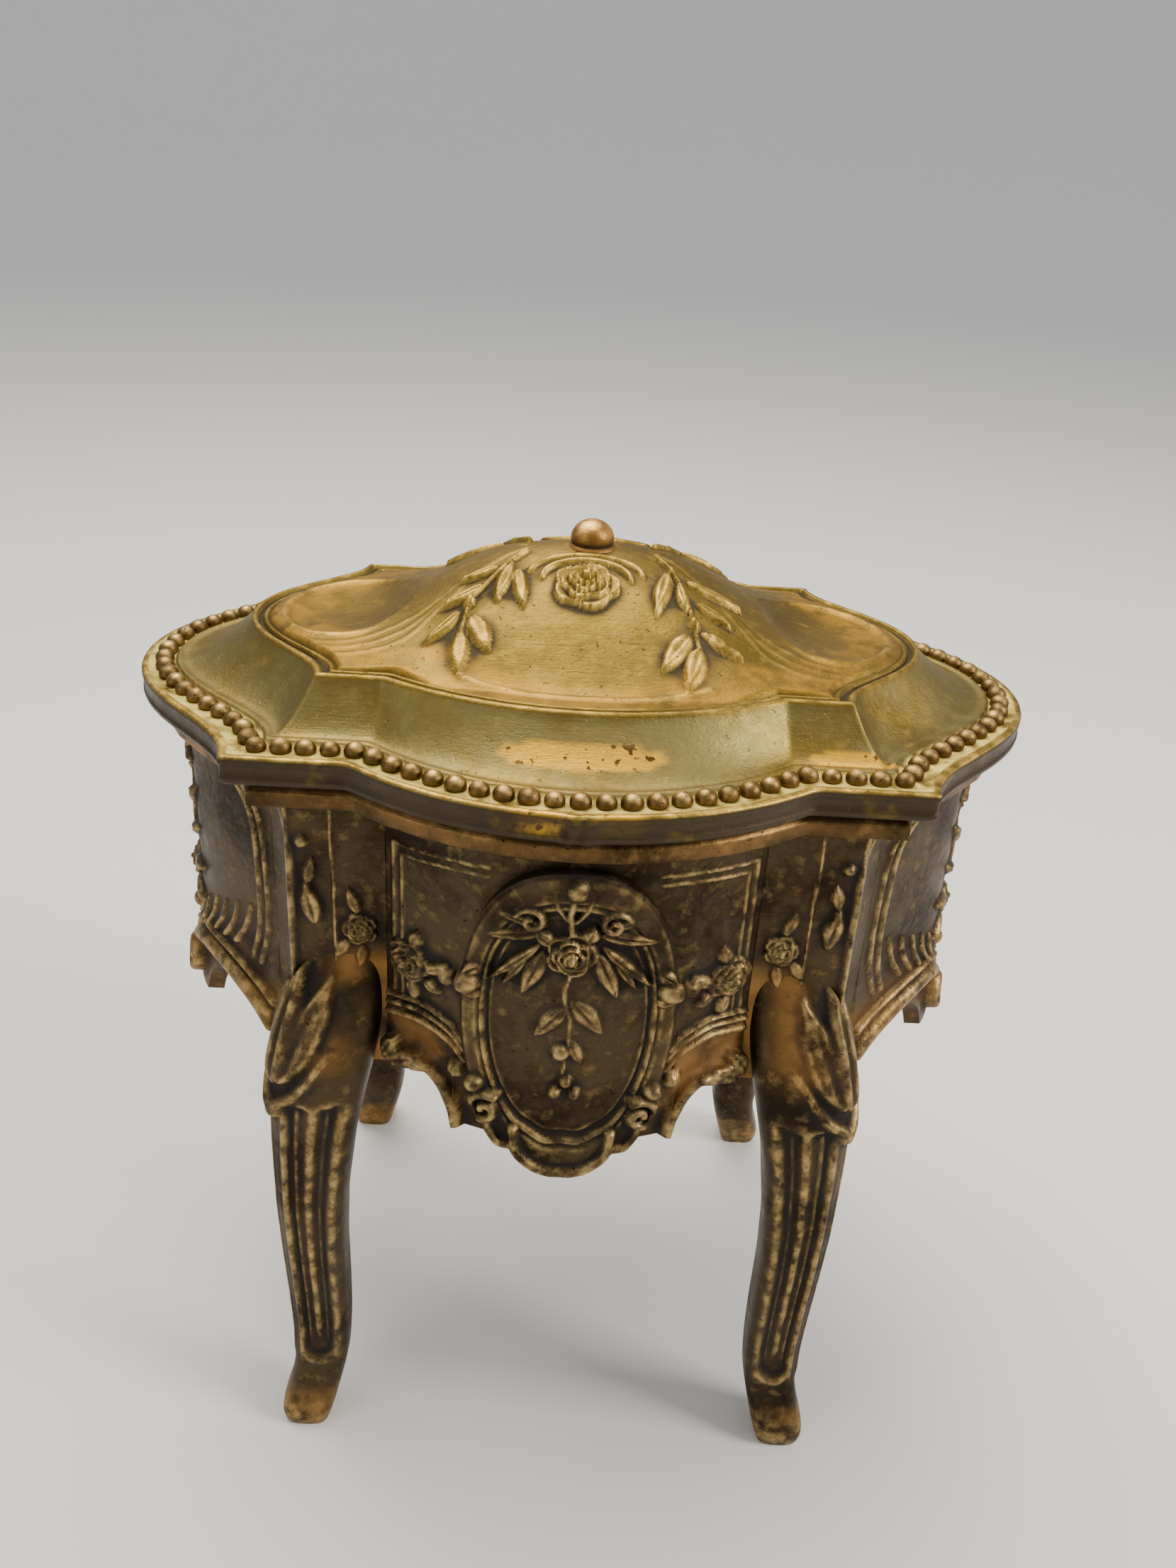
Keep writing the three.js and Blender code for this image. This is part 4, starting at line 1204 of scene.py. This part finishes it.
class TRINKET_OT_lid(bpy.types.Operator):
    """Domed lid with its cove, raised panel and ornament"""

    bl_idname = "trinket.lid"
    bl_label = "Lid"

    def execute(self, context):
        rows = lid_rows()
        around = len(outline(LID))
        mesh, n, i, j, _ = sheet_grid(around, len(rows) - 1)
        xy = np.stack([outline(o) for o, _, _ in rows], 1)
        xy = np.concatenate([xy, xy[:1]], 0)
        x, y = xy[..., 0], xy[..., 1]
        z = np.zeros_like(x)
        zone = {k: np.zeros_like(x) for k in ("warm", "cove", "crust", "side", "bare")}
        ornament = Relief(x, y)
        lid_ornament(ornament)
        share = np.array([kind if h == "field" else 2.0 for _, h, kind in rows])[None, :] * np.ones_like(x)
        h = ornament.h * (share < 0.995) * context.scene.trinket_sizes.relief
        for k, (_, height, kind) in enumerate(rows):
            if height == "field":
                z[:, k] = lid_field(x[:, k], y[:, k]) + h[:, k]
            elif height == "under":
                z[:, k] = lid_field(x[:, k], y[:, k]) - LID_SHELL
            else:
                z[:, k] = height
            if kind in zone:
                zone[kind][:, k] = 1
        zone["warm"] = smooth((share - 0.78) / 0.08) * (share < 1.5)
        for at, reach, tall, bend in (((0, -29.6), 9.6, 1.35, 0.012), ((31, -23.4), 6.2, 0.9, 0)):
            lens = 1 - np.hypot((x - at[0]) / reach, (y - at[1] - bend * (x - at[0]) ** 2) / tall)
            zone["bare"] = np.maximum(zone["bare"], smooth(lens / 0.12) * zone["cove"])
        scar = (zone["side"] > 0) * (y < 0) * np.exp(-((np.abs(x) / 1.9) ** 3))
        crumbs = 0.45 + 0.3 * np.sin(8.1 * x + 5 * z) * np.cos(6.3 * z - 3 * x)
        crumbs = crumbs + 0.25 * np.sin(17 * x) * np.sin(13 * z)
        y = y - scar * 0.7 * np.maximum(crumbs, 0)
        worn = (zone["side"] > 0) * (y < 0) * (z > LID_BOTTOM + 1.0)
        worn = worn * smooth((7.5 - np.abs(x)) / 2) * smooth((np.abs(x) - 1.6) / 1)
        zone["bare"] = np.maximum(zone["bare"], 0.8 * worn)
        drape(mesh, np.stack([x[i, j], y[i, j], z[i, j]], 1))
        deep, proud = hollows_and_crests(h, 4, True)
        kinds = [k for _, _, k in rows]
        # The lip at the top of the rim's side gets a painted highlight; the moulding's crests are brightened too.
        zone["lip"] = np.array([k == "side" for k in kinds])[None, :] * (z > RIM_TOP - 0.15)
        edge = np.array([k == "edge" for k in kinds])[None, :] * np.ones_like(z)
        proud = np.clip(proud + zone["lip"] + 0.6 * edge * np.clip((z - FIELD - 0.2) / 0.2, 0, 1), 0, 1)
        # The moulding's groove is darkened as painted shade.
        groove = edge * np.clip((FIELD + 0.05 - z) / 0.15, 0, 1)
        zone["side"] = zone["side"] * (1 - zone["lip"])
        under = np.array([k == "inside" for k in kinds])[None, :] * np.ones_like(z)
        # The lid's inside is darkened as painted shade.
        mark(mesh, "deep", np.clip(deep + 0.35 * under + groove, 0, 1)[i, j])
        mark(mesh, "proud", proud[i, j])
        for name, values in zone.items():
            mark(mesh, name, values[i, j])
        edit(mesh, weld, face_outwards)
        piece(mesh, "lid_cast", "lid", finish("Lid brass"), ("lid_shell",), sharp=70)
        return {"FINISHED"}


class TRINKET_OT_beads(bpy.types.Operator):
    """Row of small beads in the channel round the lid"""

    bl_idname = "trinket.beads"
    bl_label = "Beaded border"

    def execute(self, context):
        sizes = context.scene.trinket_sizes
        radius = sizes.bead_radius / MM
        line = outline(inset(LID, BEAD_LINE), soften=1)
        line = np.vstack([line, line[:1]])
        run = run_along(line)
        count = int(round(run[-1] / (sizes.bead_pitch / MM)))
        at = np.arange(count) * run[-1] / count
        bm = bmesh.new()
        for k, s in enumerate(at):
            x, y = np.interp(s, run, line[:, 0]), np.interp(s, run, line[:, 1])
            size = radius * (1 + 0.055 * math.sin(7.3 * k) * math.cos(2.9 * k))
            made = bmesh.ops.create_uvsphere(bm, u_segments=14, v_segments=9, radius=size * MM)
            bmesh.ops.scale(bm, vec=(1, 1, 0.88), verts=made["verts"])
            bmesh.ops.translate(bm, vec=(x * MM, y * MM, (RIM_TOP + 0.2) * MM), verts=made["verts"])
        mesh = turned_into_mesh(bm, "beads")
        z = points(mesh)[:, 2] / MM - RIM_TOP
        # The beads' lower parts are darkened as painted shade and their tops brightened as a painted highlight.
        mark(mesh, "deep", np.clip((0.35 - z) / 0.7, 0, 1))
        mark(mesh, "proud", np.clip((z - 0.85) / 0.35, 0, 1))
        piece(mesh, "lid_beads", "lid", finish("Bead brass"), ("bead_border",))
        return {"FINISHED"}


class TRINKET_OT_frame(bpy.types.Operator):
    """Moulded frame that closes the top of the walls"""

    bl_idname = "trinket.frame"
    bl_label = "Rim frame"

    def execute(self, context):
        bm = bmesh.new()
        bm.from_mesh(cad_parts["rim_frame"].data)
        bmesh.ops.remove_doubles(bm, verts=bm.verts[:], dist=1e-6)
        bmesh.ops.dissolve_limit(bm, angle_limit=0.02, verts=bm.verts[:], edges=bm.edges[:])
        sharp = [e for e in bm.edges if len(e.link_faces) == 2 and e.calc_face_angle(0) > 0.6]
        bmesh.ops.bevel(
            bm, geom=sharp, offset=0.16 * MM, affect="EDGES", segments=2, profile=0.5, material=-1, clamp_overlap=True
        )
        mesh = turned_into_mesh(bm, "frame")
        z = points(mesh)[:, 2] / MM
        mark(mesh, "deep", np.clip((FRAME_BOTTOM + 0.3 - z) / 0.3, 0, 1) * 0.6)
        mark(mesh, "proud", hump(z - FRAME_TOP + 0.8, 0.25) * 0.6)
        piece(mesh, "rim_frame_moulded", "base", finish("Frame brass"), ("rim_frame",), sharp=35)
        return {"FINISHED"}


class TRINKET_OT_finial(bpy.types.Operator):
    """Turned finial at the crown of the dome"""

    bl_idname = "trinket.finial"
    bl_label = "Finial"

    def execute(self, context):
        low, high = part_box("finial")
        top = high[2] / MM
        seat = FIELD + DOME["rise"] + GAP
        profile = [(0, low[2] / MM), (0.75, low[2] / MM), (0.75, seat - 0.25)]
        profile += [(2.7, seat - 0.25), (2.95, seat), (2.85, seat + 0.25), (2.5, seat + 0.4)]
        middle = seat + 1.05
        for a in np.radians(np.linspace(-22, 90, 16)):
            profile.append((2.62 * math.cos(a), middle + (top - middle) * math.sin(a)))
        mesh = spun([(max(r, 0) * MM, z * MM) for r, z in profile], 48)
        z = points(mesh)[:, 2] / MM - seat
        # The neck under the ball is darkened as patina and painted shade, and the ball brightens towards its top as a
        # painted highlight.
        mark(mesh, "deep", hump(z - 0.6, 0.35))
        mark(mesh, "proud", np.clip((z - 1.3) / 1.2, 0, 1))
        piece(mesh, "finial_turned", "lid", finish("Finial brass"), ("finial",))
        return {"FINISHED"}


class TRINKET_OT_hardware(bpy.types.Operator):
    """Finish of the hinge, screws, rivets, nut and floor"""

    bl_idname = "trinket.hardware"
    bl_label = "Hinge, screws and floor"

    def execute(self, context):
        for name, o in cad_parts.items():
            if name.startswith(("hinge", "floor_plate", "floor_screw", "wall_rivet", "lid_rivet", "finial_nut")):
                o.data.materials.clear()
                o.data.materials.append(finish("Hardware brass"))
        return {"FINISHED"}


class TRINKET_OT_cushion(bpy.types.Operator):
    """Padded silk cushion on the floor"""

    bl_idname = "trinket.cushion"
    bl_label = "Cushion"

    def execute(self, context):
        low, high = (np.array(c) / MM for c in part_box("floor_cushion"))
        plan = inset(CAVITY, 2.4)
        big = CLOTH_SCALE
        pts = outline(plan, parts=(10, 5, 12))
        bm = bmesh.new()
        made = [bm.verts.new((x * MM * big, y * MM * big, (low[2] + 0.5) * MM * big)) for x, y in pts]
        base = bm.faces.new(made)
        up = bmesh.ops.extrude_face_region(bm, geom=[base])
        tops = [v for v in up["geom"] if isinstance(v, bmesh.types.BMVert)]
        bmesh.ops.translate(bm, vec=(0, 0, (high[2] - low[2] - 1.8) * MM * big), verts=tops)
        face_outwards(bm)
        mesh = turned_into_mesh(bm, "cushion")
        o = bpy.data.objects.new("floor_cushion_silk", mesh)
        context.scene.collection.objects.link(o)
        context.view_layer.objects.active = o
        remesh = o.modifiers.new("remesh", "REMESH")
        remesh.mode, remesh.voxel_size = "VOXEL", CLOTH_VOXEL
        self.bake(o, context)
        cloth = o.modifiers.new("cloth", "CLOTH")
        cloth.settings.use_pressure = True
        cloth.settings.uniform_pressure_force = 4
        cloth.settings.effector_weights.gravity = 0
        before = points(o.data)
        start = context.scene.frame_current
        for f in range(1, CLOTH_FRAMES + 1):
            context.scene.frame_set(f)
        self.bake(o, context)
        context.scene.frame_set(start)
        moved = points(o.data) - before
        far = np.linalg.norm(moved, axis=1, keepdims=True)
        place(o.data, before + moved * np.minimum(1, CLOTH_REACH / np.maximum(far, 1e-9)))
        place(o.data, points(o.data) / CLOTH_SCALE)
        fine = o.modifiers.new("fine", "SUBSURF")
        fine.levels = fine.render_levels = 1
        self.bake(o, context)
        p = points(o.data) / MM
        p[:, 2] = np.clip(p[:, 2], low[2] + 0.1, high[2] + 0.4)
        rim = outline(inset(plan, -1.0))
        angles, radii = np.arctan2(rim[:, 1], rim[:, 0]), np.hypot(rim[:, 0], rim[:, 1])
        order = np.argsort(angles)
        angle = np.arctan2(p[:, 1], p[:, 0])
        depth = np.interp(angle, angles[order], radii[order], period=2 * np.pi) - np.hypot(p[:, 0], p[:, 1])
        top = smooth((p[:, 2] - (low[2] + high[2]) / 2) / 0.8)
        along = angle * 52 + 1.6 * np.sin(5 * angle) + 1.1 * np.sin(11 * angle + 1)
        pucker = (0.5 + 0.5 * np.cos(along)) * hump(depth - 3.4, 1.9)
        seam = hump(depth - 1.9, 0.55)
        swell = 2.5 * smooth((depth - 1.6) / 17) + 0.16 * np.sin(0.19 * p[:, 0] + 1) * np.sin(0.23 * p[:, 1])
        p[:, 2] += top * (swell - 0.42 * pucker - 0.7 * seam)
        drape(o.data, p)
        # Seams, puckers and the cushion's lower half are darkened as painted shade.
        mark(o.data, "deep", np.clip(top * (0.75 * seam + 0.5 * pucker) + (1 - top), 0, 1))
        o.data.materials.append(finish("Cushion silk"))
        shade_smooth(o.data)
        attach(o, "base")
        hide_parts("floor_cushion")
        return {"FINISHED"}

    @staticmethod
    def bake(o, context):
        """Replaces the object's mesh by what its modifiers make of it."""
        dg = context.evaluated_depsgraph_get()
        made = bpy.data.meshes.new_from_object(o.evaluated_get(dg))
        o.modifiers.clear()
        o.data = made


class TRINKET_OT_stage(bpy.types.Operator):
    """Pale floor, soft lights and the camera"""

    bl_idname = "trinket.stage"
    bl_label = "Stage"

    def execute(self, context):
        radius = context.scene.trinket_sizes.floor_radius
        profile = [(0, 0), (radius, 0)]
        for a in np.radians(np.arange(6, 91, 6)):
            profile.append((radius + STAGE_CURVE * math.sin(a), STAGE_CURVE - STAGE_CURVE * math.cos(a)))
        profile.append((radius + STAGE_CURVE, STAGE_HEIGHT))
        mesh = spun(profile, 96)
        shade_smooth(mesh)
        floor = bpy.data.objects.new("stage_floor", mesh)
        context.scene.collection.objects.link(floor)
        m = bpy.data.materials.new("Stage paper")
        m.use_nodes = True
        shader = m.node_tree.nodes["Principled BSDF"]
        shader.inputs["Base Color"].default_value = (0.74, 0.73, 0.71, 1)
        shader.inputs["Roughness"].default_value = 0.85
        mesh.materials.append(m)
        world = bpy.data.worlds.new("Studio")
        world.use_nodes = True
        world.node_tree.nodes["Background"].inputs[0].default_value = (0.93, 0.95, 1.0, 1)
        world.node_tree.nodes["Background"].inputs[1].default_value = 0.85
        context.scene.world = world
        self.lamp(context, "Overhead", (-0.10, 0.16, 0.62), 0.42, 4.8, (1.0, 0.93, 0.8))
        self.lamp(context, "Key", (0.55, -0.16, 0.42), 0.22, 4.0, (1.0, 0.95, 0.88))
        self.lamp(context, "Fill", (-0.6, -0.5, 0.28), 0.4, 1.3, (0.9, 0.95, 1.0))
        self.camera(context)
        return {"FINISHED"}

    @staticmethod
    def lamp(context, name, place, size, power, colour):
        data = bpy.data.lights.new(name, "AREA")
        data.size, data.energy, data.color = size, power, colour
        o = bpy.data.objects.new(name, data)
        o.location = place
        o.rotation_euler = (Vector((0, 0, 0.08)) - Vector(place)).to_track_quat("-Z", "Y").to_euler()
        context.scene.collection.objects.link(o)

    @staticmethod
    def camera(context):
        data = bpy.data.cameras.new("Camera")
        data.sensor_width, data.lens = 36, 30.11
        data.clip_start, data.clip_end = 0.01, 50
        yaw, pitch, roll = (math.radians(a) for a in (1.115, 27.31, 3.607))
        ahead = Vector((math.sin(yaw) * math.cos(pitch), math.cos(yaw) * math.cos(pitch), -math.sin(pitch)))
        side = Vector((math.cos(yaw), -math.sin(yaw), 0))
        above = side.cross(ahead)
        right = math.cos(roll) * side + math.sin(roll) * above
        up = -math.sin(roll) * side + math.cos(roll) * above
        turn = Matrix((right, up, -ahead)).transposed().to_4x4()
        o = bpy.data.objects.new("Camera", data)
        o.matrix_world = Matrix.Translation(Vector((-1.68, -154.01, 164.88)) * MM) @ turn
        context.scene.collection.objects.link(o)
        context.scene.camera = o


OPERATORS = (
    TRINKET_OT_walls,
    TRINKET_OT_cartouche,
    TRINKET_OT_legs,
    TRINKET_OT_frame,
    TRINKET_OT_lid,
    TRINKET_OT_beads,
    TRINKET_OT_finial,
    TRINKET_OT_hardware,
    TRINKET_OT_cushion,
    TRINKET_OT_stage,
)


class TRINKET_PT_panel(bpy.types.Panel):
    """Lists the pieces of the trinket box"""

    bl_idname = "TRINKET_PT_panel"
    bl_label = "Trinket Box"
    bl_space_type = "VIEW_3D"
    bl_region_type = "UI"
    bl_category = "Trinket Box"

    def draw(self, context):
        for group in (context.scene.trinket_sizes, context.scene.trinket_colours):
            for name in group.__annotations__:
                self.layout.prop(group, name)
        for operator in OPERATORS:
            self.layout.operator(operator.bl_idname)


CLASSES = (TrinketSizes, TrinketColours, *OPERATORS, TRINKET_PT_panel)


def register():
    for c in CLASSES:
        bpy.utils.register_class(c)
    bpy.types.Scene.trinket_sizes = bpy.props.PointerProperty(type=TrinketSizes)
    bpy.types.Scene.trinket_colours = bpy.props.PointerProperty(type=TrinketColours)


def unregister():
    del bpy.types.Scene.trinket_colours
    del bpy.types.Scene.trinket_sizes
    for c in reversed(CLASSES):
        bpy.utils.unregister_class(c)


def main():
    register()
    for operator in OPERATORS:
        group, name = operator.bl_idname.split(".")
        getattr(getattr(bpy.ops, group), name)()


if __name__ == "__main__":
    main()
